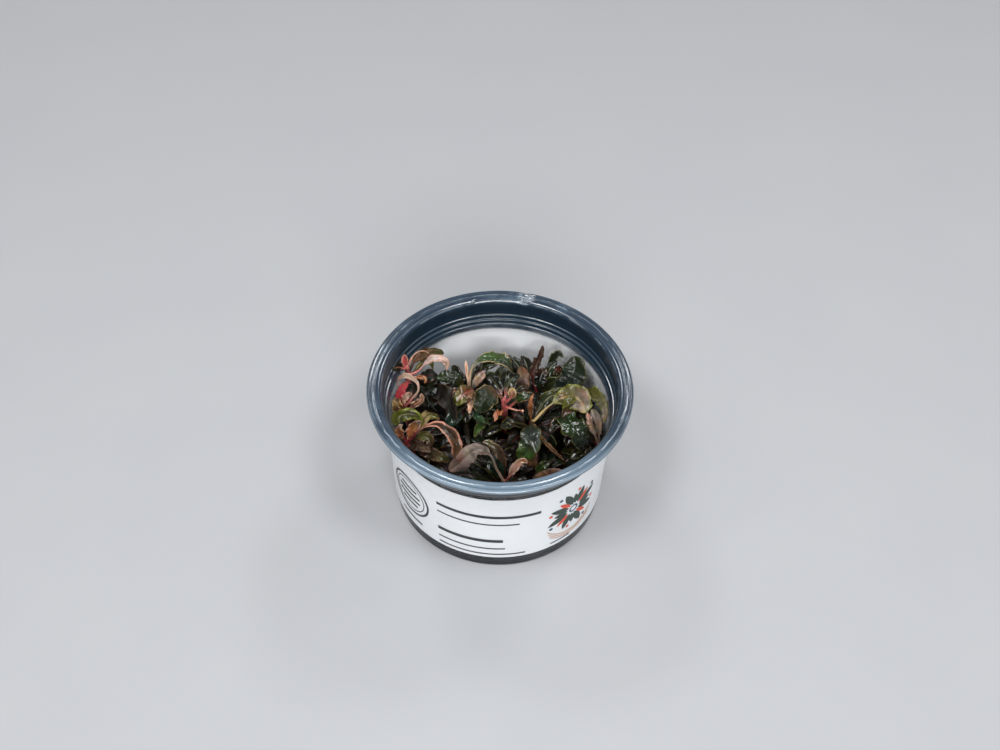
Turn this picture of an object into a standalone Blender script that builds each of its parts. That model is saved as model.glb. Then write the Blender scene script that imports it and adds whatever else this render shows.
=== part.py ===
"""Bucephalandra plantlets growing in a clear tissue-culture cup with a paper sleeve.

Lengths are in millimetres and become metres in solid(). +Z is up. The origin is the centre of the cup's
base, on the surface that the cup stands on, and -Y is the side that faces the viewer.
"""

import math
from typing import NamedTuple

import bmesh
import bpy
from mathutils import Vector
from mathutils.bvhtree import BVHTree

MM = 0.001

# The cup's driving dimensions
RIM_RADIUS = 50.0
CUP_HEIGHT = 60.0
BASE_RADIUS = 40.9
WALL_SLOPE = 0.045
WALL = 0.9
STEP_HEIGHT = 50.0
COLLAR_RADIUS = 45.0
ROUND_STEPS = 44

# The paper sleeve and the gel
SLEEVE_LOW, SLEEVE_HIGH = 6.7, 45.6
PAPER = 0.25
SNUG_GAP = 0.15
GEL_DEPTH = 6.4
FLOOR = 1.8
REST_GAP = 0.3

# Leaves and stems
LEAF_THICKNESS = 0.5
STALK_WIDTH = 1.3
STALK_THICKNESS = 0.9
WAVE_LENGTH = 7.0
STEM_SIDES = 6
STEM_STATIONS = 5

# The small lower leaves, in a spiral up each stem wherever there is room for one
LOWER_LEAVES = 8
LOWER_START = 13.0
LOWER_SPACING = 2.6
LOWER_REACH = 12.5
LOWER_WIDTH = 6.0
LOWER_ROOM = 0.3
SPIRAL = math.radians(137.5)

TONES = {
    "clear": ((0.42, 0.50, 0.56), 0.12),
    "paper": ((0.90, 0.91, 0.92), 0.60),
    "gel": ((0.62, 0.60, 0.50), 0.10),
    "stem": ((0.42, 0.10, 0.08), 0.40),
    "dark": ((0.03, 0.06, 0.02), 0.22),
    "green": ((0.09, 0.20, 0.04), 0.28),
    "olive": ((0.24, 0.25, 0.05), 0.35),
    "brown": ((0.22, 0.13, 0.08), 0.45),
    "mauve": ((0.32, 0.24, 0.24), 0.50),
    "pink": ((0.68, 0.28, 0.24), 0.40),
    "cream": ((0.70, 0.52, 0.42), 0.45),
    "red": ((0.62, 0.08, 0.08), 0.35),
    "orange": ((0.70, 0.28, 0.08), 0.40),
}


class Stem(NamedTuple):
    """A creeping stem: the points it runs through, from the gel up, and its thickness."""

    path: tuple
    width: float = 2.4


class Leaf(NamedTuple):
    """A leaf: its stem, the points its midrib runs through from base to tip, and its form.

    width is across the blade at its widest. face is the way the upper side looks at mid-length. fold, in
    degrees, lifts both halves off the midrib, wave is the height of the margin's ripple, twist turns
    the tip against the base, and stalk and peak are the shares of the length where the blade starts and
    where, along the blade, it is widest.
    """

    stem: str
    path: tuple
    width: float
    face: tuple = (0.0, -0.5, 0.87)
    fold: float = 15.0
    wave: float = 0.4
    twist: float = 0.0
    stalk: float = 0.2
    peak: float = 0.5
    tone: str = "dark"


STEMS = {
    "back_left": Stem(((-31, 12, 0), (-34.5, 14, 25), (-36, 15.3, 41), (-36.2, 16, 51.5)), 2.4),
    "left": Stem(((-31, 3, 0), (-34, 4, 20), (-36.8, 4.8, 38.5)), 2.6),
    "front_left": Stem(((-29, -9, 0), (-32, -8, 20), (-34.7, -8, 33.5)), 2.6),
    "mid_left": Stem(((-10, 12, 0), (-11, 15, 22), (-12, 16, 37.5)), 2.4),
    "front": Stem(((3, -15, 0), (2.6, -18, 15), (2.6, -19.7, 26)), 2.6),
    "centre": Stem(((3, 9, 0), (2.4, 8.2, 22), (2.0, 8.0, 34), (1.3, 7.5, 43.5)), 2.8),
    "mid_right": Stem(((13, 1, 0), (12, 2, 20), (12.7, 2.6, 35.5)), 2.4),
    "back_right": Stem(((15, 14, 0), (14, 18, 18), (15.5, 19.5, 32)), 2.6),
    "right": Stem(((29, 6, 0), (31, 8, 18), (29.5, 10.5, 35)), 2.4),
    "far_right": Stem(((33, -8, 0), (36, -7, 18), (38.4, -5.6, 33)), 2.2),
    "front_right": Stem(((18, -13, 0), (16, -15, 14), (14, -15.5, 25)), 2.2),
}

LEAVES = {
    # The tall plantlet at the back left, with salmon margins
    "leaf_back_left_1": Leaf("back_left", ((-36.2, 15.6, 49.5), (-39.0, 13.6, 53), (-41.4, 11.8, 54.2)), 4.2,
                             face=(0.1, -0.85, 0.5), fold=10, tone="dark"),
    "leaf_back_left_2": Leaf("back_left", ((-36, 15.4, 46), (-31.9, 16.7, 47.5), (-29, 17.8, 51),
                                           (-25.8, 18.5, 53), (-22.7, 18.2, 53), (-20.9, 17.4, 51.3),
                                           (-21, 16.2, 48.8)), 3.2,
                             face=(0, -0.4, 0.9), fold=20, peak=0.6, tone="cream"),
    "leaf_back_left_3": Leaf("back_left", ((-35.8, 16, 50.3), (-34.6, 16.9, 54), (-32.6, 18.6, 56),
                                           (-30, 19.5, 56), (-28, 20, 54.5)), 1.9,
                             face=(0, 0.7, 0.7), fold=0, wave=0.1, tone="pink"),
    "leaf_back_left_4": Leaf("back_left", ((-35.6, 15, 44.5), (-32.6, 15.2, 45.4), (-30.2, 15.2, 45.5),
                                           (-29.1, 14.7, 44.7), (-29.5, 13.9, 43.6)), 1.8,
                             face=(0.2, -0.6, 0.8), tone="orange"),
    "leaf_back_left_5": Leaf("back_left", ((-35.6, 16.8, 46.5), (-33.2, 20.4, 49.8), (-29.2, 22.2, 51.2),
                                           (-25.4, 23, 51.6), (-22.2, 23.2, 50.8)), 4.6,
                             face=(0, -0.6, 0.8), tone="brown"),
    "leaf_back_left_6": Leaf("back_left", ((-35.4, 16.6, 44), (-31, 19.8, 47.8), (-27.6, 20.3, 49),
                                           (-26.4, 19.2, 46)), 2.6,
                             face=(0, -0.3, 0.95), tone="olive"),
    # The plantlet at the left
    "leaf_left_1": Leaf("left", ((-36.4, 4.6, 40.5), (-33.4, 4.4, 46), (-31.3, 4.8, 49.5), (-31.5, 6.6, 51.5),
                                 (-33.4, 8.6, 52), (-36.4, 10.6, 51.3), (-39, 11, 48.5),
                                 (-39.6, 10, 45.5)), 2.8,
                        face=(0, -0.3, 0.95), fold=18, peak=0.75, tone="cream"),
    "leaf_left_2": Leaf("left", ((-37.2, 5, 39.5), (-38.9, 6.7, 43), (-37.6, 8.8, 46),
                                 (-35.4, 10.8, 48)), 4.4,
                        face=(0, -0.7, 0.7), fold=40, wave=0.2, stalk=0.1, tone="red"),
    "leaf_left_3": Leaf("left", ((-35.8, 4.6, 38), (-32.7, 3.3, 43), (-30.2, 4.1, 45), (-30.1, 6.3, 46.3)), 3.2,
                        face=(0, -0.5, 0.85), fold=25, tone="brown"),
    "leaf_left_4": Leaf("left", ((-37.6, 4, 37), (-39.8, 2.4, 41), (-41.0, 3.4, 45.5)), 3.0,
                        face=(0.4, -0.7, 0.6), fold=20, tone="brown"),
    # The plantlet at the front left, with the long double-edged leaf
    "leaf_front_left_1": Leaf("front_left", ((-34.4, -7, 31.5), (-31, -4, 36.5), (-30.2, -2.6, 39.8),
                                             (-32.2, -1.6, 42.8), (-36.2, -2, 43.6), (-39.2, -3.2, 42.8),
                                             (-39.8, -4.8, 40)), 5.0,
                              face=(0, -0.5, 0.85), fold=12, wave=0.5, peak=0.7, tone="olive"),
    "leaf_front_left_2": Leaf("front_left", ((-35.2, -7.6, 34), (-37.6, -7.2, 37.8), (-38.6, -6.4, 40.6),
                                             (-36.8, -5.8, 42)), 3.6,
                              face=(0.2, -0.7, 0.7), fold=25, tone="orange"),
    "leaf_front_left_3": Leaf("front_left", ((-35.4, -8.6, 33), (-37.8, -10, 37), (-39.2, -10.5, 41.5)), 3.0,
                              face=(0.5, -0.5, 0.7), fold=20, tone="brown"),
    "leaf_front_left_4": Leaf("front_left", ((-34.4, -8.4, 34.5), (-31.2, -7.9, 40), (-27.8, -8.6, 44.5),
                                             (-23.3, -9.2, 46.5), (-19.8, -11.5, 46.5), (-17.2, -13.9, 45),
                                             (-15.9, -16.2, 43), (-16.2, -17.6, 40.5), (-16.9, -18.5, 38)), 5.4,
                              face=(0.1, -0.3, 0.95), fold=32, wave=0.3, stalk=0.15, peak=0.72, tone="pink"),
    "leaf_front_left_5": Leaf("front_left", ((-33.8, -7.4, 33), (-29.8, -7.9, 37.6), (-26.6, -9.4, 38.4),
                                             (-26.2, -11.8, 35.8)), 4.4,
                              face=(0, -0.5, 0.85), tone="olive"),
    "leaf_front_left_6": Leaf("front_left", ((-33.6, -7, 29.5), (-30.5, -1.5, 36.2), (-27.6, 0.2, 40.5),
                                             (-24.8, -0.6, 41.2), (-22.6, -1.4, 40.6)), 4.6,
                              face=(0, -0.45, 0.9), fold=20, tone="brown"),
    # The plantlet left of the middle, with the green arch
    "leaf_mid_left_1": Leaf("mid_left", ((-12, 16.8, 37), (-12, 19.2, 43), (-10.5, 22, 46), (-7, 24.3, 47),
                                         (-2.5, 25.2, 47), (1.5, 24.3, 46), (3.7, 22.6, 44),
                                         (4.2, 21.9, 42.3)), 5.4,
                            face=(0, -0.2, 1), fold=8, wave=0.3, stalk=0.36, peak=0.5, tone="green"),
    "leaf_mid_left_2": Leaf("mid_left", ((-12.6, 16, 36), (-16.5, 16.2, 43), (-20, 17, 44), (-25, 17.3, 43)), 5.4,
                            face=(0, -0.5, 0.87), fold=10, tone="dark"),
    "leaf_mid_left_3": Leaf("mid_left", ((-11.6, 15.4, 37.5), (-10.6, 12.2, 42), (-13.0, 9.4, 43.8),
                                         (-15.6, 7.4, 42.4), (-16.6, 5.8, 40)), 6.4,
                            face=(-0.1, -0.5, 0.85), fold=10, peak=0.55, tone="mauve"),
    "leaf_mid_left_4": Leaf("mid_left", ((-12.8, 15.2, 31.5), (-15.5, 14.5, 35), (-17.4, 13, 41), (-18.7, 9.6, 42.3),
                                         (-19.4, 6.8, 39.8)), 2.2,
                            face=(0.3, -0.4, 0.85), tone="pink"),
    "leaf_mid_left_5": Leaf("mid_left", ((-11, 15.2, 35.5), (-9.8, 10.4, 39.6), (-11.2, 5.8, 40), (-11.6, 3.2, 38)),
                            3.2, face=(-0.3, -0.4, 0.85), fold=20, tone="cream"),
    "leaf_mid_left_6": Leaf("mid_left", ((-13, 15.5, 25.5), (-24.5, 12.6, 38), (-22.4, 10.4, 42),
                                         (-20.2, 6.2, 42.4), (-18.4, 2.6, 40.4), (-17.2, 0, 37.4)), 6.8,
                            face=(-0.1, -0.35, 0.9), fold=-12, wave=0.5, stalk=0.3, peak=0.45, tone="brown"),
    # The plantlet in the middle, on the coral red stem
    "leaf_centre_1": Leaf("centre", ((0.6, 7.2, 43), (-2.6, 8, 46), (-5, 5.4, 46.2), (-6.7, 3, 44.2),
                                     (-7, 1.6, 41.2)), 9.2,
                          face=(-0.2, -0.5, 0.85), fold=8, wave=0.5, stalk=0.1, peak=0.5, tone="dark"),
    "leaf_centre_2": Leaf("centre", ((1.2, 7.4, 34.5), (-6.6, 7.4, 37.2), (-9, 2.6, 38.6), (-6.7, -0.6, 38.6),
                                     (-3.5, -1, 37)), 3.4,
                          face=(0, -0.4, 0.9), fold=15, stalk=0.35, tone="green"),
    "leaf_centre_3": Leaf("centre", ((1.4, 7, 32), (-4.4, 3.6, 34.8), (-7.8, -1.6, 36), (-9.6, -4.6, 33.8)), 3.4,
                          face=(0, -0.4, 0.9), fold=20, stalk=0.35, tone="green"),
    "leaf_centre_4": Leaf("centre", ((2.6, 8.2, 40), (4.6, 9.4, 43), (4.5, 11.6, 45)), 3.6,
                          face=(0, -0.7, 0.7), fold=15, stalk=0.25, tone="brown"),
    "leaf_centre_5": Leaf("centre", ((3, 8, 36), (7.6, 9.2, 41), (10.8, 9.6, 42.6), (13.2, 10.4, 42.4)), 4.0,
                          face=(0, -0.4, 0.9), fold=15, stalk=0.3, tone="dark"),
    # The plantlet right of the middle
    "leaf_mid_right_1": Leaf("mid_right", ((13.2, 2, 36), (18.2, 5, 41), (23.8, 7.6, 44), (28.4, 7.4, 45.4),
                                           (31.6, 4.8, 45), (33.2, 1.4, 42.8)), 10.4,
                             face=(0.1, -0.5, 0.9), fold=12, wave=0.7, stalk=0.35, peak=0.6, tone="olive"),
    "leaf_mid_right_2": Leaf("mid_right", ((12.6, 1.8, 35.5), (12.2, -5.6, 40), (12, -10.8, 40), (10.6, -13, 37),
                                           (7.6, -14, 33)), 8.2,
                             face=(0, -0.3, 0.95), fold=10, wave=0.4, stalk=0.12, peak=0.55, tone="dark"),
    "leaf_mid_right_3": Leaf("mid_right", ((13.6, 2, 34), (15.9, -4.2, 35.2), (18.8, -7.4, 33.6),
                                           (22, -9.8, 31.8), (25.4, -11.8, 29.6)), 1.8,
                             face=(0.3, -0.5, 0.8), fold=25, wave=0.1, tone="cream"),
    # The plantlet at the back right, with the broad slate-green leaf
    "leaf_back_right_1": Leaf("back_right", ((16.2, 18.8, 32.5), (21.4, 17.4, 37), (25.8, 17.8, 40.6),
                                             (28.6, 20, 44), (29.4, 22.6, 47), (28.9, 24.8, 49.4)), 10.2,
                              face=(-0.25, -0.65, 0.7), fold=10, wave=0.5, peak=0.6, tone="dark"),
    "leaf_back_right_2": Leaf("back_right", ((14.6, 20.2, 32.5), (12.6, 23.8, 38), (13.8, 26.5, 42),
                                             (15.6, 28.6, 46), (16.4, 30.4, 49)), 3.6,
                              face=(0.35, -0.8, 0.5), fold=15, wave=0.4, tone="brown"),
    "leaf_back_right_3": Leaf("back_right", ((15.8, 20.8, 31), (19.5, 27.2, 40), (21.2, 28.4, 45), (23, 28.6, 46.6),
                                             (24.8, 27.2, 45.4)), 3.2,
                              face=(0, -0.2, 1), fold=10, stalk=0.4, tone="dark"),
    "leaf_back_right_4": Leaf("back_right", ((15.6, 19, 33.5), (15.4, 20, 38), (16.3, 22.2, 41), (17.8, 24, 43)), 5.8,
                              face=(0, -0.75, 0.65), fold=18, wave=0.5, tone="dark"),
    "leaf_back_right_5": Leaf("back_right", ((16.8, 20, 31.5), (21, 21.6, 38), (22.4, 23.4, 41), (23.4, 25, 43.6)),
                              5.4, face=(0.1, -0.7, 0.7), fold=12, wave=0.6, tone="dark"),
    "leaf_back_right_6": Leaf("back_right", ((14.2, 19, 31.5), (9.8, 18.6, 36), (8.9, 21.4, 40.4), (7.7, 24.4, 43)),
                              5.6, face=(0, -0.8, 0.6), fold=8, wave=0.2, peak=0.55, tone="brown"),
    "leaf_back_right_7": Leaf("back_right", ((14, 18.4, 29.5), (7.6, 19.6, 34.5), (5.4, 22, 38.4)), 3.8,
                              face=(0, -0.8, 0.6), fold=12, tone="mauve"),
    # The plantlets at the right
    "leaf_right_1": Leaf("right", ((29.8, 11, 36.5), (34.4, 10.6, 44.6), (37.8, 6.2, 46.8), (39.7, 2.2, 46.4),
                                   (40.2, -1.2, 45), (40, -3.6, 42.8)), 4.6,
                         face=(-0.4, -0.3, 0.85), fold=8, wave=0.4, stalk=0.1, peak=0.45, tone="olive"),
    "leaf_right_2": Leaf("right", ((29, 9.6, 33), (25.2, 2.6, 39), (28.3, -4.2, 41), (31, -8.2, 39), (32.3, -10.6, 35)),
                         9.6, face=(0.1, -0.2, 1), fold=8, wave=0.8, tone="dark"),
    "leaf_far_right_1": Leaf("far_right", ((38, -5.2, 34), (36.2, -4, 39), (34.4, -1.6, 42.8),
                                           (33.6, 0.8, 44.4)), 3.6,
                             face=(-0.5, -0.6, 0.6), fold=20, wave=0.3, tone="mauve"),
    "leaf_far_right_2": Leaf("far_right", ((38.8, -5, 31), (38.2, -3.2, 38.4), (36.9, -0.4, 42.2),
                                           (35.5, 2.6, 44)), 5.4,
                             face=(-0.6, -0.6, 0.5), fold=8, wave=0.2, tone="mauve"),
    # The plantlets at the front, partly behind the rim
    "leaf_front_1": Leaf("front", ((2, -19.9, 27), (-0.8, -20.2, 35), (-2.5, -19.7, 41), (-5.5, -19.2, 44.5),
                                   (-8.5, -19.5, 45), (-11.2, -21, 44), (-14.2, -23.1, 41.6),
                                   (-18.2, -24.8, 38.4)), 7.0,
                         face=(-0.3, -0.5, 0.8), fold=8, wave=0.4, stalk=0.45, peak=0.6, tone="mauve"),
    "leaf_front_2": Leaf("front", ((3.4, -20, 27), (5, -20.2, 32), (7, -19.2, 36), (9.4, -18.2, 37.4),
                                   (11, -18.6, 36.4)), 3.4,
                         face=(0, -0.5, 0.85), fold=25, wave=0.2, tone="pink"),
    "leaf_front_3": Leaf("front", ((2.6, -19, 25.5), (2.0, -16.4, 33.2), (-0.6, -14, 38.2), (-3.8, -12, 40),
                                   (-6.4, -11.8, 39.6)), 3.6,
                         face=(0, -0.5, 0.85), fold=12, wave=0.3, tone="olive"),
    "leaf_front_right_1": Leaf("front_right", ((14.2, -16, 26), (16.2, -16.4, 31), (19.6, -15.2, 33.4)), 3.8,
                               face=(0, -0.6, 0.8), tone="green"),
    "leaf_front_right_2": Leaf("front_right", ((13.6, -16.4, 24), (15.2, -19.6, 28.5), (20.4, -19.6, 31),
                                               (25, -18.6, 32)), 5.0,
                               face=(0, -0.6, 0.8), tone="brown"),
}

# Small stalks and new leaves that are one with their stem
SPROUTS = (
    Leaf("back_left", ((-36.2, 16, 46), (-36.8, 16.1, 54), (-37, 16.3, 57.2)), 3.0,
         face=(0, -0.95, 0.3), fold=25, wave=0, stalk=0.1, peak=0.72, tone="red"),
    Leaf("mid_left", ((-12, 16, 36.5), (-13, 17.6, 44.5), (-13.6, 20, 50.5)), 1.5,
         face=(0, -0.9, 0.4), fold=35, wave=0, stalk=0, peak=0.8, tone="cream"),
    Leaf("centre", ((1.4, 7.6, 38.5), (6, 4.6, 39.8), (9.4, 4, 40)), 1.3,
         face=(0, -0.5, 0.85), fold=0, wave=0, stalk=0.9, tone="red"),
    Leaf("centre", ((1.6, 7.6, 35.5), (-0.6, 2.4, 39.6), (-1.8, -0.4, 38.4)), 2.6,
         face=(-0.3, -0.5, 0.8), fold=30, wave=0.5, stalk=0.3, tone="orange"),
    Leaf("mid_right", ((12.7, 2.6, 33), (11.9, 4.5, 40.5), (11.9, 5.5, 45.5), (12.9, 6.9, 46.6)), 2.4,
         face=(0, -0.8, 0.6), fold=30, wave=0.3, tone="orange"),
)


def clear_scene():
    for obj in list(bpy.data.objects):
        bpy.data.objects.remove(obj)


def material(tone):
    """The Principled material of a tone, made once."""
    if tone in bpy.data.materials:
        return bpy.data.materials[tone]
    colour, roughness = TONES[tone]
    made = bpy.data.materials.new(tone)
    made.use_nodes = True
    shader = made.node_tree.nodes["Principled BSDF"]
    shader.inputs["Base Color"].default_value = (*colour, 1.0)
    shader.inputs["Roughness"].default_value = roughness
    shader.inputs["Metallic"].default_value = 0.0
    return made


def solid(name, bm, tone):
    """The finished object: millimetres become metres, and the faces point out."""
    bmesh.ops.recalc_face_normals(bm, faces=bm.faces)
    bmesh.ops.scale(bm, vec=(MM, MM, MM), verts=bm.verts)
    mesh = bpy.data.meshes.new(name)
    bm.to_mesh(mesh)
    bm.free()
    mesh.shade_smooth()
    mesh.set_sharp_from_angle(angle=math.radians(35))
    mesh.materials.append(material(tone))
    obj = bpy.data.objects.new(name, mesh)
    bpy.context.scene.collection.objects.link(obj)
    return obj


def turned(name, profile, tone, ring=False):
    """A profile of (radius, height) points spun round Z. A ring's profile is closed and off the axis."""
    bm = bmesh.new()
    verts = [bm.verts.new((r, 0, z)) for r, z in profile]
    pairs = list(zip(verts, verts[1:])) + ([(verts[-1], verts[0])] if ring else [])
    edges = [bm.edges.new(pair) for pair in pairs]
    bmesh.ops.spin(bm, geom=verts + edges, axis=(0, 0, 1), angle=math.tau, steps=ROUND_STEPS, use_merge=True)
    bmesh.ops.remove_doubles(bm, verts=bm.verts, dist=1e-4)
    return solid(name, bm, tone)


def arc(centre, radius, start, end, steps=2):
    """Points of a round corner in a profile, from one angle to another in degrees."""
    angles = [math.radians(start + (end - start) * k / steps) for k in range(steps + 1)]
    return [(centre[0] + radius * math.cos(a), centre[1] + radius * math.sin(a)) for a in angles]


def wall_radius(z):
    """The outer radius of the cup's tapered wall."""
    return BASE_RADIUS + WALL_SLOPE * z


def cup_profile():
    """From the middle of the underside, up the outside, over the rim and down the inside."""
    foot = 1.2
    recess = 1.0
    foot_inner = BASE_RADIUS - 5.5
    under = [(0, recess), (foot_inner - recess, recess), (foot_inner, 0)]
    corner = arc((BASE_RADIUS - foot, foot), foot, -90, 0)
    neck = [(wall_radius(48), 48), (wall_radius(48) + 0.25, STEP_HEIGHT - 0.9)]
    step = [(COLLAR_RADIUS - 0.6, STEP_HEIGHT - 0.5), (COLLAR_RADIUS, STEP_HEIGHT + 0.2)]
    collar_top = [(COLLAR_RADIUS + 0.5, CUP_HEIGHT - 2.4), (COLLAR_RADIUS + 1.2, CUP_HEIGHT - 1.5)]
    edge = [
        (RIM_RADIUS - 0.7, CUP_HEIGHT - 1.5),
        (RIM_RADIUS - 0.5, CUP_HEIGHT - 1.9),
        (RIM_RADIUS, CUP_HEIGHT - 1.5),
        (RIM_RADIUS, CUP_HEIGHT - 0.7),
        (RIM_RADIUS - 0.9, CUP_HEIGHT),
    ]
    flange_top = [
        (RIM_RADIUS - 1.7, CUP_HEIGHT - 0.4),
        (RIM_RADIUS - 2.3, CUP_HEIGHT - 0.4),
        (RIM_RADIUS - 2.8, CUP_HEIGHT - 0.05),
        (RIM_RADIUS - 3.4, CUP_HEIGHT - 0.4),
    ]
    lip_round = 1.9
    lip = arc((COLLAR_RADIUS + 1.2, CUP_HEIGHT - 0.4 - lip_round), lip_round, 90, 180)
    inner_steps = [
        (COLLAR_RADIUS - 0.9, STEP_HEIGHT + 2.0),
        (COLLAR_RADIUS - 1.4, STEP_HEIGHT + 1.8),
        (COLLAR_RADIUS - 1.5, STEP_HEIGHT + 0.2),
        (COLLAR_RADIUS - 2.3, STEP_HEIGHT),
        (COLLAR_RADIUS - 2.5, STEP_HEIGHT - 1.5),
        (wall_radius(48) - WALL, STEP_HEIGHT - 1.7),
    ]
    floor_round = 1.5
    floor_edge = wall_radius(FLOOR + floor_round) - WALL
    floor = arc((floor_edge - floor_round, FLOOR + floor_round), floor_round, 0, -90)
    outside = under + corner + neck + step + collar_top + edge
    return outside + flange_top + lip + inner_steps + floor + [(0, FLOOR)]


def sleeve_profile():
    inner = [(wall_radius(z) + SNUG_GAP, z) for z in (SLEEVE_LOW, SLEEVE_HIGH)]
    return inner + [(r + PAPER, z) for r, z in reversed(inner)]


def gel_profile():
    low, high = FLOOR + REST_GAP, FLOOR + GEL_DEPTH
    edge = wall_radius(low + 2) - WALL - REST_GAP
    return [(0, low), (edge - 2.0, low), (edge, low + 2.0), (wall_radius(high) - WALL - REST_GAP, high), (0, high)]


def smooth_line(points, count):
    """Points at even spacing along a smooth curve through the given ones."""
    knots = [Vector(p) for p in points]
    knots = [2 * knots[0] - knots[1], *knots, 2 * knots[-1] - knots[-2]]
    dense = []
    for a, b, c, d in zip(knots, knots[1:], knots[2:], knots[3:]):
        for k in range(12):
            t = k / 12
            curve = 2 * b + (c - a) * t + (2 * a - 5 * b + 4 * c - d) * t**2 + (3 * b - a - 3 * c + d) * t**3
            dense.append(0.5 * curve)
    dense.append(knots[-2])
    lengths = [0.0]
    for a, b in zip(dense, dense[1:]):
        lengths.append(lengths[-1] + (b - a).length)
    line, k = [], 0
    for i in range(count):
        want = lengths[-1] * i / (count - 1)
        while k < len(dense) - 2 and lengths[k + 1] < want:
            k += 1
        share = (want - lengths[k]) / max(lengths[k + 1] - lengths[k], 1e-9)
        line.append(dense[k].lerp(dense[k + 1], min(share, 1.0)))
    return line


def tangents(line):
    ends = [line[0]] + line + [line[-1]]
    return [(b - a).normalized() for a, b in zip(ends, ends[2:])]


def normals(line, face):
    """The upper side's direction at each point: face at mid-length, carried along the line both ways."""
    along = tangents(line)
    middle = len(line) // 2
    found = [Vector(face)] * len(line)
    for k in range(middle, len(line)):
        carried = found[max(k - 1, middle)]
        found[k] = (carried - carried.dot(along[k]) * along[k]).normalized()
    for k in range(middle - 1, -1, -1):
        found[k] = (found[k + 1] - found[k + 1].dot(along[k]) * along[k]).normalized()
    return found


def blade_share(t, leaf):
    """The blade's half width at a share t of the length, as a share of its widest."""
    if t <= leaf.stalk:
        return 0.0
    u = (t - leaf.stalk) / (1 - leaf.stalk)
    return max(0.0, math.sin(math.pi * u ** (math.log(0.5) / math.log(leaf.peak)))) ** 0.75


def leaf_rings(leaf, line, room=0.0, strips=2):
    """Cross sections of the leaf along its line, each a loop round its upper and lower side."""
    along, up = tangents(line), normals(line, leaf.face)
    length = sum((b - a).length for a, b in zip(line, line[1:]))
    rings = []
    for k, point in enumerate(line):
        t = k / (len(line) - 1)
        turn = math.radians(leaf.twist) * (t - 0.5)
        normal = up[k] * math.cos(turn) + along[k].cross(up[k]) * math.sin(turn)
        side = along[k].cross(normal)
        blade = blade_share(t, leaf)
        half = max(blade * leaf.width / 2, STALK_WIDTH / 2 * (1 - 0.5 * t)) + room
        thick = STALK_THICKNESS + (LEAF_THICKNESS - STALK_THICKNESS) * min(1, 2 * blade) + 2 * room
        upper, lower = [], []
        for j in range(strips + 1):
            s = 2 * j / strips - 1
            ripple = leaf.wave * blade * s * s * math.sin(math.tau * t * length / WAVE_LENGTH + 1.7 * s)
            rise = abs(s) * half * math.sin(math.radians(leaf.fold)) + ripple
            spot = point + side * (s * half * math.cos(math.radians(leaf.fold))) + normal * rise
            edge = thick * (1 - 0.35 * abs(s)) / 2
            upper.append(spot + normal * edge)
            lower.append(spot - normal * edge)
        rings.append(upper + lower[::-1])
    return rings


def skin(rings):
    """Vertices and faces of the closed surface over the rings, with both ends filled."""
    n = len(rings[0])
    points = [p for ring in rings for p in ring]
    faces = [
        (k * n + j, k * n + (j + 1) % n, (k + 1) * n + (j + 1) % n, (k + 1) * n + j)
        for k in range(len(rings) - 1)
        for j in range(n)
    ]
    last = (len(rings) - 1) * n
    return points, faces + [tuple(range(n))[::-1], tuple(range(last, last + n))]


def lofted(name, rings, tone):
    points, faces = skin(rings)
    bm = bmesh.new()
    verts = [bm.verts.new(p) for p in points]
    for face in faces:
        bm.faces.new([verts[i] for i in face])
    bmesh.ops.triangulate(bm, faces=bm.faces)
    return solid(name, bm, tone)


def surface_of(obj):
    """A search tree over an object's faces, in millimetres."""
    points = [v.co / MM for v in obj.data.vertices]
    return BVHTree.FromPolygons(points, [p.vertices[:] for p in obj.data.polygons])


def stem_line(stem, count):
    """The stem's middle line, from just over the gel to its top."""
    foot = Vector((*stem.path[0][:2], FLOOR + GEL_DEPTH + REST_GAP))
    return smooth_line([foot, *stem.path[1:]], count)


def stem_rings(stem):
    """Round cross sections of a stem that thins towards its top, the first lying level on the gel."""
    line = stem_line(stem, STEM_STATIONS)
    along, up = tangents(line), normals(line, (0, -1, 0))
    rings = []
    for k, point in enumerate(line):
        side = along[k].cross(up[k])
        radius = stem.width / 2 * (1 - 0.25 * k / (STEM_STATIONS - 1))
        angles = [math.tau * j / STEM_SIDES for j in range(STEM_SIDES)]
        rings.append([point + radius * (side * math.cos(a) + up[k] * math.sin(a)) for a in angles])
    rings[0] = [Vector((p.x, p.y, line[0].z)) for p in rings[0]]
    return rings


def free_line(leaf):
    """The leaf's line from where it is clear of its own stem."""
    line = smooth_line(leaf.path, 60)
    middle = stem_line(STEMS[leaf.stem], 60)
    reach = STEMS[leaf.stem].width / 2 + REST_GAP
    inside = [k for k, p in enumerate(line) if min((p - q).length for q in middle) < reach]
    start = max(inside, default=-1) + 1
    return smooth_line(line[min(start, len(line) - 3):], len(leaf.path) + 3)


def lower_leaf(stem_name, k):
    """The k-th small leaf of a stem's spiral: it leaves the stem, rises and bends over."""
    stem = STEMS[stem_name]
    height = LOWER_START + LOWER_SPACING * k
    middle = min(stem_line(stem, 40), key=lambda p: abs(p.z - height))
    bearing = SPIRAL * (k + 3 * list(STEMS).index(stem_name))
    out = Vector((math.cos(bearing), math.sin(bearing), 0))
    steps = ((0, 0), (0.3, 0.3), (0.68, 0.5), (1, 0.36))
    path = tuple(middle + LOWER_REACH * (out * along + Vector((0, 0, rise))) for along, rise in steps)
    face = (0.4 * out.x, 0.4 * out.y, 1)
    return Leaf(stem_name, path, LOWER_WIDTH, face=face, fold=0, wave=0, stalk=0.15, tone="dark")


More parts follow.
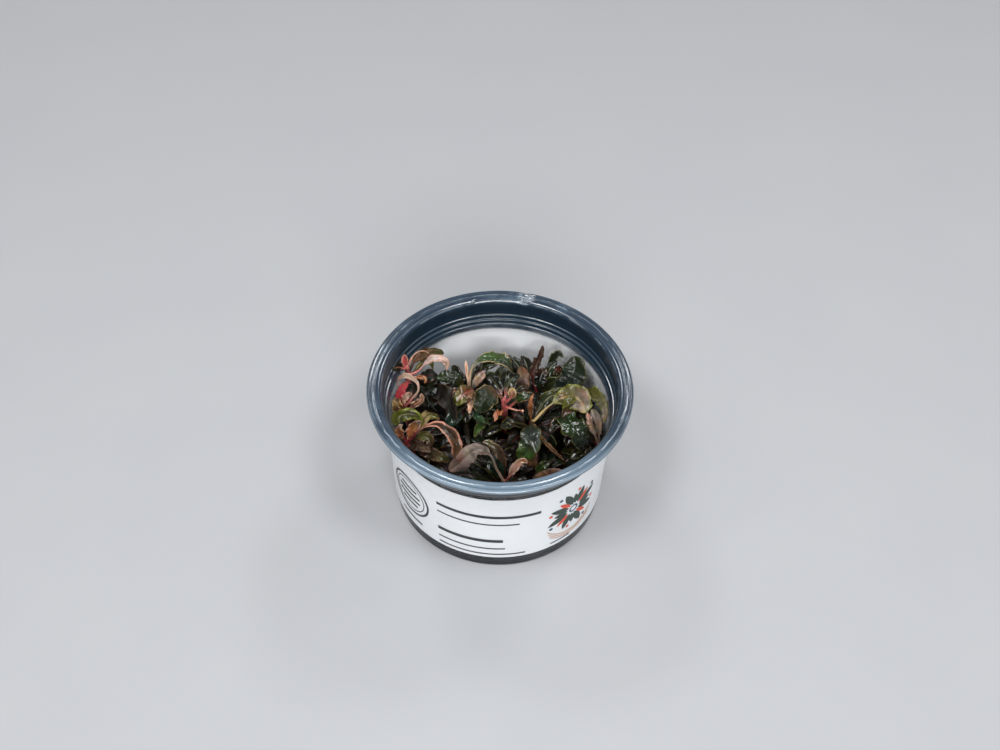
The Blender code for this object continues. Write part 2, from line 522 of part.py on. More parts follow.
def grown_stem(stem_name, others):
    """The stem with its sprouts and those of its lower leaves that have room, as one solid."""
    body = lofted(f"stem_{stem_name}", stem_rings(STEMS[stem_name]), "stem")
    grown = bpy.data.collections.new(f"grown on {stem_name}")
    taken = [tree for name, tree in others.items() if name != f"stem_{stem_name}"]
    parts = [leaf_rings(s, smooth_line(s.path, len(s.path) + 2)) for s in SPROUTS if s.stem == stem_name]
    taken += [BVHTree.FromPolygons(*skin(rings)) for rings in parts]
    top = STEMS[stem_name].path[-1][2]
    for k in range(LOWER_LEAVES):
        leaf = lower_leaf(stem_name, k)
        line = smooth_line(leaf.path, 4)
        tree = BVHTree.FromPolygons(*skin(leaf_rings(leaf, line, LOWER_ROOM, 1)))
        if leaf.path[0].z < top - 4 and not any(tree.overlap(other) for other in taken):
            parts.append(leaf_rings(leaf, line, strips=1))
            taken.append(tree)
            others[f"{stem_name} lower leaf {k}"] = tree
    for rings in parts:
        piece = lofted(f"{stem_name} growth", rings, "dark")
        piece.hide_render = True
        piece.display_type = "WIRE"
        bpy.context.scene.collection.objects.unlink(piece)
        grown.objects.link(piece)
    if parts:
        join = body.modifiers.new("Growth", "BOOLEAN")
        join.operation = "UNION"
        join.operand_type = "COLLECTION"
        join.collection = grown
        join.solver = "EXACT"
    return body


def main():
    clear_scene()
    others = {"cup": surface_of(turned("cup", cup_profile(), "clear"))}
    turned("label", sleeve_profile(), "paper", ring=True)
    others["gel"] = surface_of(turned("gel", gel_profile(), "gel"))
    for name, leaf in LEAVES.items():
        others[name] = surface_of(lofted(name, leaf_rings(leaf, free_line(leaf)), leaf.tone))
    for name, stem in STEMS.items():
        others[f"stem_{name}"] = BVHTree.FromPolygons(*skin(stem_rings(stem)))
    for name in STEMS:
        grown_stem(name, others)


main()
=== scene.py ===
import math
import random
from typing import NamedTuple

import bmesh
import bpy
import numpy as np
from mathutils import Matrix, Vector
from mathutils.bvhtree import BVHTree


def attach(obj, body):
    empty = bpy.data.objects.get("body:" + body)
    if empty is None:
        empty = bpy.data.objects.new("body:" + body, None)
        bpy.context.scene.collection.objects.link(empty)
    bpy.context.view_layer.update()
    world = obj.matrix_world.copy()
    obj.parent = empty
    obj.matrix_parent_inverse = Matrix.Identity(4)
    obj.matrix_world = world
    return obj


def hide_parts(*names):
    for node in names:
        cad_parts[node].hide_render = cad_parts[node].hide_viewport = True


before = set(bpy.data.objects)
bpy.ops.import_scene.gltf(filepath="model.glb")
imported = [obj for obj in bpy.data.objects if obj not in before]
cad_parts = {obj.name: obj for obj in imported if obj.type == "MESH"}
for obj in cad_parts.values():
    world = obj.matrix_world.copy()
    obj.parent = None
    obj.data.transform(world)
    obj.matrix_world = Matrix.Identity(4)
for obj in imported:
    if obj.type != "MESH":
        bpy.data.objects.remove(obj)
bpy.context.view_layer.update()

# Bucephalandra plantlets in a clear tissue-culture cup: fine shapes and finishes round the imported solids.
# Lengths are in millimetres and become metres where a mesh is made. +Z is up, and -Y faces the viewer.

MM = 0.001
TAU = math.tau

# The cup, as in the solids
RIM_RADIUS = 50.0
CUP_HEIGHT = 60.0
BASE_RADIUS = 40.9
WALL_SLOPE = 0.045
WALL = 0.9
STEP_HEIGHT = 50.0
COLLAR_RADIUS = 45.0
NECK = 48
RIM_FINISH_ABOVE = 47.5
CUP_STEPS = 256
ARC_STEPS = 6
CORNER_STEPS = 4
CUP_CORNER, GEL_CORNER = 0.3, 0.5

# The paper sleeve and the gel
SLEEVE_LOW, SLEEVE_HIGH = 6.7, 45.6
PAPER = 0.25
SNUG_GAP = 0.15
GEL_DEPTH = 6.4
FLOOR = 1.8
REST_GAP = 0.3
GEL_TOP = FLOOR + GEL_DEPTH

# Leaves and stems
LEAF_THICKNESS = 0.5
STALK_WIDTH = 1.15
STALK_THICKNESS = 0.9
ROOT_STATIONS = 4

# Wave lengths along a leaf: the ripple, the margin's lobes and frills, the quilting and the flaps
RIPPLE, LOBES, FRILLS, QUILTING, FLAPS = 7.0, (5.3, 2.3), (3.4, 1.9), 2.1, 9.5

# Stations along a leaf and strips across it, for each kind
LEAF_MESH = (60, 18)
SPROUT_MESH = (40, 10)
ACCENT_MESH = (36, 14)
LOWER_MESH = (26, 10)
CROWD_MESH = (20, 8)

# Stations along a stem or a root, and points round it
STEM_MESH = (90, 24)
ROOT_MESH = (40, 8)
SCAR_SPACING = 2.3

# Points of each span of a curve, and of the lines on which a leaf's start is looked for
SPAN_STEPS = 24
LEAF_SAMPLES, STEM_SAMPLES, SHOOT_SAMPLES = 160, 80, 40

# The small lower leaves, in a spiral up each stem
LOWER_LEAVES = 8
LOWER_START = 13.0
LOWER_SPACING = 2.6
LOWER_REACH = 12.5
LOWER_WIDTH = 6.0
SAME_PLACE = 0.8
SPIRAL = math.radians(137.5)

# The dark leaves that crowd each stem: round it, high behind it, and towards the bare place if that is near
ROUND_LEAVES, BEHIND_LEAVES, BARE_LEAVES = 44, 26, 26
CROWD_FOOT = 10
CROWD_CEILING, BARE_CEILING = 43, 33
WALL_ROOM = 1.5
# Their near-black tints are partly the leaves' own dark colour and partly painted shade deep among the
# plants
SHADED_UNDER_TINTS = ("soil ink deep", "wine soil ink", "umber soil ink", "ink deep ink", "umber soil soil",
               "soil ink deep", "wine ink ink")
UNDER_EDGES = ("umber", "soil", "deep", "olive", "soil", "wine", "umber")

# The place between the stems that longer leaves of the crowd reach over
BARE_PLACE = (-13.0, -13.0)
BARE_REACH = 32

# The crowd keeps out of the way between the red stem's upper part and the viewer
RED_STEM = (2.0, 7.0)
OPEN_HEIGHTS = (23.0, 26.0, 29.0, 32.0, 35.0, 38.0, 41.0)
OPEN_WAY = np.array((0.0, -0.64, 0.768))

# Colours of the plants, as screen values
PALETTE = {
    "ink": (14, 18, 12),
    "soil": (22, 17, 12),
    "deep": (26, 34, 18),
    "forest": (26, 46, 16),
    "bottle": (20, 42, 32),
    "slate": (30, 40, 34),
    # a pale grey-green that stands for a broad soft gloss: painted sheen
    "fog": (98, 112, 110),
    "green": (42, 64, 28),
    "grass": (62, 88, 36),
    "olive": (72, 70, 32),
    "moss": (86, 88, 30),
    "lime": (106, 110, 40),
    "straw": (166, 142, 100),
    "cream": (212, 182, 156),
    "salmon": (184, 128, 108),
    "rose": (168, 84, 84),
    "coral": (156, 52, 62),
    "crimson": (118, 30, 40),
    "wine": (70, 26, 24),
    "umber": (56, 38, 28),
    "bronze": (90, 64, 42),
    "ochre": (138, 94, 54),
    "amber": (176, 110, 72),
    "mauve": (112, 93, 85),
    "lilac": (172, 156, 162),
    "blush": (172, 138, 120),
    "dove": (132, 120, 112),
}


class Stem(NamedTuple):
    """A creeping stem: its points from the gel up, its thickness, and its colours at the foot and top."""

    path: tuple
    width: float = 2.4
    low: str = "umber"
    high: str = "wine"


class Leaf(NamedTuple):
    """A leaf, with the form that its solid has, and its colours.

    tints are the colours at the base, the middle and the tip of the side that faces `face`. edge is the
    margin's colour, rib the midrib's and back the other side's. gloss runs from 0, dull, to 1, wet. crisp is
    the depth of the margin's fine waves and hem the margin's width. The ends are rounder where blunt is low.
    """

    path: tuple
    width: float
    tints: str = "umber deep deep"
    edge: str = "olive"
    rib: str = "olive"
    face: tuple = (0.0, -0.5, 0.87)
    fold: float = 15.0
    wave: float = 0.4
    twist: float = 0.0
    stalk: float = 0.2
    peak: float = 0.5
    back: str = "bronze"
    gloss: float = 0.7
    crisp: float = 0.25
    hem: float = 0.4
    blunt: float = 0.6
    slot: str = "leaf_dark"


STEMS = {
    "back_left": Stem(((-31, 12, 0), (-34.5, 14, 25), (-36, 15.3, 41), (-36.2, 16, 51.5)), 2.4, "wine",
                      "rose"),
    "left": Stem(((-31, 3, 0), (-34, 4, 20), (-36.8, 4.8, 38.5)), 2.6, "umber", "rose"),
    "front_left": Stem(((-29, -9, 0), (-32, -8, 20), (-34.7, -8, 33.5)), 2.6, "umber", "crimson"),
    "mid_left": Stem(((-10, 12, 0), (-11, 15, 22), (-12, 16, 37.5)), 2.4, "umber", "rose"),
    "front": Stem(((3, -15, 0), (2.6, -18, 15), (2.6, -19.7, 26)), 2.6, "umber", "crimson"),
    "centre": Stem(((3, 9, 0), (2.4, 8.2, 22), (2.0, 8.0, 34), (1.3, 7.5, 43.5)), 2.8, "crimson", "rose"),
    "mid_right": Stem(((13, 1, 0), (12, 2, 20), (12.7, 2.6, 35.5)), 2.4, "umber", "crimson"),
    "back_right": Stem(((15, 14, 0), (14, 18, 18), (15.5, 19.5, 32)), 2.6, "umber", "wine"),
    "right": Stem(((29, 6, 0), (31, 8, 18), (29.5, 10.5, 35)), 2.4, "umber", "wine"),
    "far_right": Stem(((33, -8, 0), (36, -7, 18), (38.4, -5.6, 33)), 2.2, "umber", "wine"),
    "front_right": Stem(((18, -13, 0), (16, -15, 14), (14, -15.5, 25)), 2.2, "umber", "wine"),
}

LEAVES = {
    # The tall plantlet at the back left, with salmon margins
    "back_left": (
        Leaf(((-36.2, 15.6, 49.5), (-39.0, 13.6, 53), (-41.4, 11.8, 54.2)), 4.2, "rose ink deep", "deep",
             "salmon", face=(0.1, -0.85, 0.5), fold=10, gloss=0.8, crisp=0.2),
        # Its pale lilac middle is partly the blade's own colour and partly painted sheen from the glare on
        # its wet blade
        Leaf(((-36.0, 15.4, 46), (-31.9, 16.7, 47.5), (-29, 17.8, 51), (-25.8, 18.5, 53), (-22.7, 18.2, 53),
             (-20.9, 17.4, 51.3), (-21, 16.2, 48.8)), 3.2, "rose lilac blush", "blush", "cream",
             face=(0, -0.4, 0.9), fold=20, peak=0.6, back="rose", gloss=1.0, crisp=0.3, blunt=0.75, hem=0.7,
             slot="leaf_cream"),
        Leaf(((-35.8, 16, 50.3), (-34.6, 16.9, 54), (-32.6, 18.6, 56), (-30, 19.5, 56), (-28, 20, 54.5)),
             1.9, "salmon blush cream", "blush", "salmon", face=(0, 0.7, 0.7), fold=0, wave=0.1,
             back="salmon", crisp=0.1, blunt=0.75, slot="leaf_pink"),
        Leaf(((-35.6, 15.0, 44.5), (-32.6, 15.2, 45.4), (-30.2, 15.2, 45.5), (-29.1, 14.7, 44.7),
             (-29.5, 13.9, 43.6)), 1.8, "salmon salmon ochre", "ochre", "ochre", face=(0.2, -0.6, 0.8),
             back="ochre", gloss=0.8, crisp=0.3, slot="leaf_orange"),
        Leaf(((-35.6, 16.8, 46.5), (-33.2, 20.4, 49.8), (-29.2, 22.2, 51.2), (-25.4, 23, 51.6),
             (-22.2, 23.2, 50.8)), 4.6, "umber bronze olive", "umber", "umber", face=(0, -0.6, 0.8),
             gloss=0.3, crisp=1.1, slot="leaf_brown"),
        Leaf(((-35.4, 16.6, 44), (-31, 19.8, 47.8), (-27.6, 20.3, 49), (-26.4, 19.2, 46)), 2.6,
             "olive moss olive", "moss", "straw", face=(0, -0.3, 0.95), slot="leaf_olive"),
    ),
    # The plantlet at the left
    "left": (
        Leaf(((-36.4, 4.6, 40.5), (-33.4, 4.4, 46), (-31.3, 4.8, 49.5), (-31.5, 6.6, 51.5),
             (-33.4, 8.6, 52), (-36.4, 10.6, 51.3), (-39.0, 11, 48.5), (-39.6, 10, 45.5)), 2.8,
             "rose dove blush", "blush", "straw", face=(0, -0.3, 0.95), fold=18, peak=0.75, back="salmon",
             gloss=0.8, crisp=0.15, blunt=0.75, slot="leaf_cream"),
        Leaf(((-37.2, 5, 39.5), (-38.9, 6.7, 43), (-37.6, 8.8, 46), (-35.4, 10.8, 48)), 4.4,
             "crimson coral rose", "crimson", "crimson", face=(0, -0.7, 0.7), fold=40, wave=0.2, stalk=0.1,
             back="crimson", gloss=0.8, crisp=0.4, slot="leaf_red"),
        Leaf(((-35.8, 4.6, 38), (-32.7, 3.3, 43), (-30.2, 4.1, 45), (-30.1, 6.3, 46.3)), 3.2,
             "rose bronze bronze", "blush", "salmon", face=(0, -0.5, 0.85), fold=25, crisp=1.1, hem=0.5,
             slot="leaf_brown"),
        Leaf(((-37.6, 4, 37), (-39.8, 2.4, 41), (-41.0, 3.4, 45.5)), 3.0, "bronze bronze straw", "straw",
             "ochre", face=(0.4, -0.7, 0.6), fold=20, gloss=0.5, crisp=0.5, slot="leaf_brown"),
    ),
    # The plantlet at the front left, with the long double-edged leaf
    "front_left": (
        Leaf(((-34.4, -7, 31.5), (-31, -4, 36.5), (-30.2, -2.6, 39.8), (-32.2, -1.6, 42.8),
             (-36.2, -2, 43.6), (-39.2, -3.2, 42.8), (-39.8, -4.8, 40)), 5.0, "rose deep moss", "lime",
             "moss", face=(0, -0.5, 0.85), fold=12, wave=0.5, peak=0.7, gloss=0.8, crisp=0.4, hem=0.9,
             slot="leaf_olive"),
        Leaf(((-35.2, -7.6, 34), (-37.6, -7.2, 37.8), (-38.6, -6.4, 40.6), (-36.8, -5.8, 42)), 3.6,
             "crimson amber cream", "blush", "coral", face=(0.2, -0.7, 0.7), fold=25, back="amber",
             crisp=1.0, slot="leaf_orange"),
        Leaf(((-35.4, -8.6, 33), (-37.8, -10, 37), (-39.2, -10.5, 41.5)), 3.0, "crimson bronze amber",
             "umber", "ochre", face=(0.5, -0.5, 0.7), fold=20, crisp=0.8, slot="leaf_brown"),
        Leaf(((-34.4, -8.4, 34.5), (-31.2, -7.9, 40), (-27.8, -8.6, 44.5), (-23.3, -9.2, 46.5),
             (-19.8, -11.5, 46.5), (-17.2, -13.9, 45), (-15.9, -16.2, 43), (-16.2, -17.6, 40.5),
             (-16.9, -18.5, 38)), 5.4, "crimson umber bronze", "salmon", "soil", face=(0.1, -0.3, 0.95),
             fold=32, wave=0.3, stalk=0.15, peak=0.72, back="umber", gloss=0.95, blunt=0.75, hem=0.65,
             slot="leaf_pink"),
        Leaf(((-33.8, -7.4, 33), (-29.8, -7.9, 37.6), (-26.6, -9.4, 38.4), (-26.2, -11.8, 35.8)), 4.4,
             "umber olive umber", "bronze", face=(0, -0.5, 0.85), gloss=0.8, crisp=0.4, slot="leaf_olive"),
        Leaf(((-33.6, -7, 29.5), (-30.5, -1.5, 36.2), (-27.6, 0.2, 40.5), (-24.8, -0.6, 41.2),
             (-22.6, -1.4, 40.6)), 4.6, "crimson straw moss", "wine", "ink", face=(0, -0.45, 0.9), fold=20,
             gloss=1.0, crisp=0.6, slot="leaf_brown"),
    ),
    # The plantlet left of the middle, with the green arch
    "mid_left": (
        Leaf(((-12, 16.8, 37), (-12, 19.2, 43), (-10.5, 22, 46), (-7, 24.3, 47), (-2.5, 25.2, 47),
             (1.5, 24.3, 46), (3.7, 22.6, 44), (4.2, 21.9, 42.3)), 5.4, "cream green deep", "straw",
             "green", face=(0, -0.2, 1), fold=8, wave=0.3, stalk=0.36, back="straw", gloss=0.8, crisp=0.3,
             blunt=0.75, hem=0.3, slot="leaf_green"),
        Leaf(((-12.6, 16, 36), (-16.5, 16.2, 43), (-20, 17, 44), (-25, 17.3, 43)), 5.4, "olive deep forest",
             "deep", "deep", fold=10, gloss=0.8, crisp=0.3),
        Leaf(((-11.6, 15.4, 37.5), (-10.6, 12.2, 42), (-13.0, 9.4, 43.8), (-15.6, 7.4, 42.4),
             (-16.6, 5.8, 40)), 6.4, "bronze bronze moss", "olive", "rose", face=(-0.1, -0.5, 0.85),
             fold=10, peak=0.55, gloss=0.95, crisp=0.5, slot="leaf_mauve"),
        Leaf(((-12.8, 15.2, 31.5), (-15.5, 14.5, 35), (-17.4, 13, 41), (-18.7, 9.6, 42.3),
             (-19.4, 6.8, 39.8)), 2.2, "rose mauve mauve", "salmon", "rose", face=(0.3, -0.4, 0.85),
             gloss=0.6, crisp=0.3, blunt=0.75, slot="leaf_pink"),
        Leaf(((-11, 15.2, 35.5), (-9.8, 10.4, 39.6), (-11.2, 5.8, 40), (-11.6, 3.2, 38)), 3.2,
             "ochre blush cream", "bronze", "ochre", face=(-0.3, -0.4, 0.85), fold=20, crisp=0.6,
             slot="leaf_cream"),
        Leaf(((-13, 15.5, 25.5), (-24.5, 12.6, 38), (-22.4, 10.4, 42), (-20.2, 6.2, 42.4),
             (-18.4, 2.6, 40.4), (-17.2, 0, 37.4)), 6.8, "soil soil ink", "umber", "soil",
             face=(-0.1, -0.35, 0.9), fold=-12, wave=0.5, stalk=0.3, peak=0.45, gloss=0.5, crisp=0.4,
             back="soil", blunt=0.45, slot="leaf_brown"),
    ),
    # The plantlet in the middle, on the coral red stem
    "centre": (
        Leaf(((0.6, 7.2, 43), (-2.6, 8, 46), (-5, 5.4, 46.2), (-6.7, 3, 44.2), (-7, 1.6, 41.2)), 9.2,
             "bronze deep deep", "straw", "deep", face=(-0.2, -0.5, 0.85), fold=8, wave=0.5, stalk=0.1,
             gloss=0.45, crisp=0.35, hem=0.2),
        Leaf(((1.2, 7.4, 34.5), (-6.6, 7.4, 37.2), (-9, 2.6, 38.6), (-6.7, -0.6, 38.6), (-3.5, -1, 37)),
             3.4, "deep bottle green", "deep", "green", face=(0, -0.4, 0.9), stalk=0.35, gloss=0.8,
             crisp=0.3, slot="leaf_green"),
        Leaf(((1.4, 7, 32), (-4.4, 3.6, 34.8), (-7.8, -1.6, 36), (-9.6, -4.6, 33.8)), 3.4,
             "deep forest grass", "olive", "forest", face=(0, -0.4, 0.9), fold=20, stalk=0.35, gloss=0.6,
             crisp=0.4, slot="leaf_green"),
        Leaf(((2.6, 8.2, 40), (4.6, 9.4, 43), (4.5, 11.6, 45)), 3.6, "rose bronze straw", "straw", "rose",
             face=(0, -0.7, 0.7), stalk=0.25, gloss=0.5, crisp=0.5, slot="leaf_brown"),
        Leaf(((3, 8, 36), (7.6, 9.2, 41), (10.8, 9.6, 42.6), (13.2, 10.4, 42.4)), 4.0, "rose forest deep",
             "bronze", face=(0, -0.4, 0.9), stalk=0.3, gloss=0.9, crisp=0.3),
    ),
    # The plantlet right of the middle
    "mid_right": (
        Leaf(((13.2, 2, 36), (18.2, 5, 41), (23.8, 7.6, 44), (28.4, 7.4, 45.4), (31.6, 4.8, 45),
             (33.2, 1.4, 42.8)), 10.4, "straw olive dove", "lime", "straw", face=(0.1, -0.5, 0.9), fold=12,
             wave=0.7, stalk=0.35, peak=0.6, back="olive", crisp=1.1, hem=0.9, slot="leaf_olive"),
        Leaf(((12.6, 1.8, 35.5), (12.2, -5.6, 40), (12, -10.8, 40), (10.6, -13, 37), (7.6, -14, 33)), 8.2,
             "deep slate grass", "olive", "slate", face=(0, -0.3, 0.95), fold=10, stalk=0.12, peak=0.55,
             back="wine", gloss=0.75, crisp=0.3, blunt=0.45),
        Leaf(((13.6, 2, 34), (15.9, -4.2, 35.2), (18.8, -7.4, 33.6), (22, -9.8, 31.8), (25.4, -11.8, 29.6)),
             1.8, "straw bronze umber", "ochre", "umber", face=(0.3, -0.5, 0.8), fold=25, wave=0.1,
             gloss=0.5, crisp=0.3, blunt=0.75, hem=0.25, slot="leaf_cream"),
    ),
    # The plantlet at the back right, with the broad slate-green leaf
    "back_right": (
        # Its pale grey-green base is a painted sheen, the broad soft gloss on the leaf's lower part
        Leaf(((16.2, 18.8, 32.5), (21.4, 17.4, 37), (25.8, 17.8, 40.6), (28.6, 20, 44), (29.4, 22.6, 47),
             (28.9, 24.8, 49.4)), 10.2, "fog slate deep", "olive", "slate", face=(-0.25, -0.65, 0.7),
             fold=10, wave=0.5, peak=0.6, gloss=0.6, crisp=0.5, blunt=0.45),
        Leaf(((14.6, 20.2, 32.5), (12.6, 23.8, 38), (13.8, 26.5, 42), (15.6, 28.6, 46), (16.4, 30.4, 49)),
             3.6, "crimson umber umber", "umber", "wine", face=(0.35, -0.8, 0.5), gloss=0.6, crisp=0.5,
             slot="leaf_brown"),
        Leaf(((15.8, 20.8, 31), (19.5, 27.2, 40), (21.2, 28.4, 45), (23, 28.6, 46.6), (24.8, 27.2, 45.4)),
             3.2, "ink deep ink", "olive", "deep", face=(0, -0.2, 1), fold=10, stalk=0.4, gloss=0.9,
             crisp=0.4),
        Leaf(((15.6, 19, 33.5), (15.4, 20, 38), (16.3, 22.2, 41), (17.8, 24, 43)), 5.8, "ink ink umber",
             "umber", "deep", face=(0, -0.75, 0.65), fold=18, wave=0.5, gloss=0.95, crisp=0.5),
        Leaf(((16.8, 20, 31.5), (21, 21.6, 38), (22.4, 23.4, 41), (23.4, 25, 43.6)), 5.4, "ink forest wine",
             "ink", "deep", face=(0.1, -0.7, 0.7), fold=12, wave=0.6, gloss=1.0, crisp=0.5),
        Leaf(((14.2, 19, 31.5), (9.8, 18.6, 36), (8.9, 21.4, 40.4), (7.7, 24.4, 43)), 5.6,
             "mauve mauve bronze", "umber", "umber", face=(0, -0.8, 0.6), fold=8, wave=0.2, peak=0.55,
             gloss=0.35, blunt=0.45, slot="leaf_brown"),
        Leaf(((14, 18.4, 29.5), (7.6, 19.6, 34.5), (5.4, 22, 38.4)), 3.8, "mauve mauve umber", "umber",
             "umber", face=(0, -0.8, 0.6), fold=12, gloss=0.4, slot="leaf_mauve"),
    ),
    # The plantlets at the right
    "right": (
        Leaf(((29.8, 11, 36.5), (34.4, 10.6, 44.6), (37.8, 6.2, 46.8), (39.7, 2.2, 46.4), (40.2, -1.2, 45),
             (40, -3.6, 42.8)), 4.6, "umber olive dove", "moss", face=(-0.4, -0.3, 0.85), fold=8, stalk=0.1,
             peak=0.45, gloss=0.5, crisp=0.5, slot="leaf_olive"),
        Leaf(((29, 9.6, 33), (25.2, 2.6, 39), (28.3, -4.2, 41), (31, -8.2, 39), (32.3, -10.6, 35)), 9.6,
             "bottle forest ink", "olive", "deep", face=(0.1, -0.2, 1), fold=8, wave=0.8, gloss=1.0,
             crisp=0.6, blunt=0.45),
    ),
    "far_right": (
        Leaf(((38, -5.2, 34), (36.2, -4, 39), (34.4, -1.6, 42.8), (33.6, 0.8, 44.4)), 3.6,
             "mauve dove blush", "umber", "dove", face=(-0.5, -0.6, 0.6), fold=20, wave=0.3, gloss=0.85,
             slot="leaf_mauve"),
        Leaf(((38.8, -5, 31), (38.2, -3.2, 38.4), (36.9, -0.4, 42.2), (35.5, 2.6, 44)), 5.4,
             "mauve dove dove", "umber", "mauve", face=(-0.6, -0.6, 0.5), fold=8, wave=0.2, gloss=0.3,
             blunt=0.45, slot="leaf_mauve"),
    ),
    # The plantlets at the front, partly behind the rim
    "front": (
        Leaf(((2, -19.9, 27), (-0.8, -20.2, 35), (-2.5, -19.7, 41), (-5.5, -19.2, 44.5), (-8.5, -19.5, 45),
             (-11.2, -21, 44), (-14.2, -23.1, 41.6), (-18.2, -24.8, 38.4)), 7.0, "blush dove mauve",
             "mauve", "dove", face=(-0.3, -0.5, 0.8), fold=8, stalk=0.45, peak=0.6, back="umber", gloss=0.3,
             blunt=0.45, slot="leaf_mauve"),
        Leaf(((3.4, -20, 27), (5, -20.2, 32), (7, -19.2, 36), (9.4, -18.2, 37.4), (11, -18.6, 36.4)), 3.4,
             "rose blush ochre", "blush", "rose", face=(0, -0.5, 0.85), fold=25, wave=0.2, back="rose",
             gloss=0.95, slot="leaf_pink"),
        Leaf(((2.6, -19, 25.5), (2.0, -16.4, 33.2), (-0.6, -14, 38.2), (-3.8, -12, 40),
             (-6.4, -11.8, 39.6)), 3.6, "umber umber olive", "bronze", "umber", face=(0, -0.5, 0.85),
             fold=12, wave=0.3, gloss=0.95, crisp=0.3, slot="leaf_olive"),
    ),
    "front_right": (
        Leaf(((14.2, -16, 26), (16.2, -16.4, 31), (19.6, -15.2, 33.4)), 3.8, "olive green slate",
             face=(0, -0.6, 0.8), gloss=0.8, crisp=0.3, slot="leaf_green"),
        Leaf(((13.6, -16.4, 24), (15.2, -19.6, 28.5), (20.4, -19.6, 31), (25, -18.6, 32)), 5.0,
             "mauve bronze mauve", "mauve", "mauve", face=(0, -0.6, 0.8), gloss=0.4, crisp=0.3,
             slot="leaf_brown"),
    ),
}

# Small stalks and new leaves that are one with their stem
SPROUTS = {
    "back_left": (
        Leaf(((-36.2, 16, 46), (-36.8, 16.1, 54), (-37, 16.3, 57.2)), 3.0, "crimson rose rose", "salmon",
             "crimson", face=(0, -0.95, 0.3), fold=25, wave=0, stalk=0.1, peak=0.72, blunt=0.5, back="rose",
             gloss=1.0, crisp=0.15),
    ),
    "mid_left": (
        Leaf(((-12, 16, 36.5), (-13, 17.6, 44.5), (-13.6, 20, 50.5)), 1.5, "salmon salmon cream", "cream",
             "rose", face=(0, -0.9, 0.4), fold=35, wave=0, stalk=0, peak=0.8, back="salmon", crisp=0),
    ),
    "centre": (
        Leaf(((1.4, 7.6, 38.5), (6, 4.6, 39.8), (9.4, 4, 40)), 1.3, "coral salmon salmon", "salmon", "rose",
             face=(0, -0.5, 0.85), fold=0, wave=0, stalk=0.9, back="rose", crisp=0),
        Leaf(((1.6, 7.6, 35.5), (-0.6, 2.4, 39.6), (-1.8, -0.4, 38.4)), 2.6, "coral amber salmon", "amber",
             "coral", face=(-0.3, -0.5, 0.8), fold=30, wave=0.5, stalk=0.3, back="amber", crisp=0.7),
    ),
    "mid_right": (
        Leaf(((12.7, 2.6, 33), (11.9, 4.5, 40.5), (11.9, 5.5, 45.5), (12.9, 6.9, 46.6)), 2.4,
             "wine bronze amber", "bronze", "ochre", face=(0, -0.8, 0.6), fold=30, wave=0.3, crisp=0.7),
    ),
}

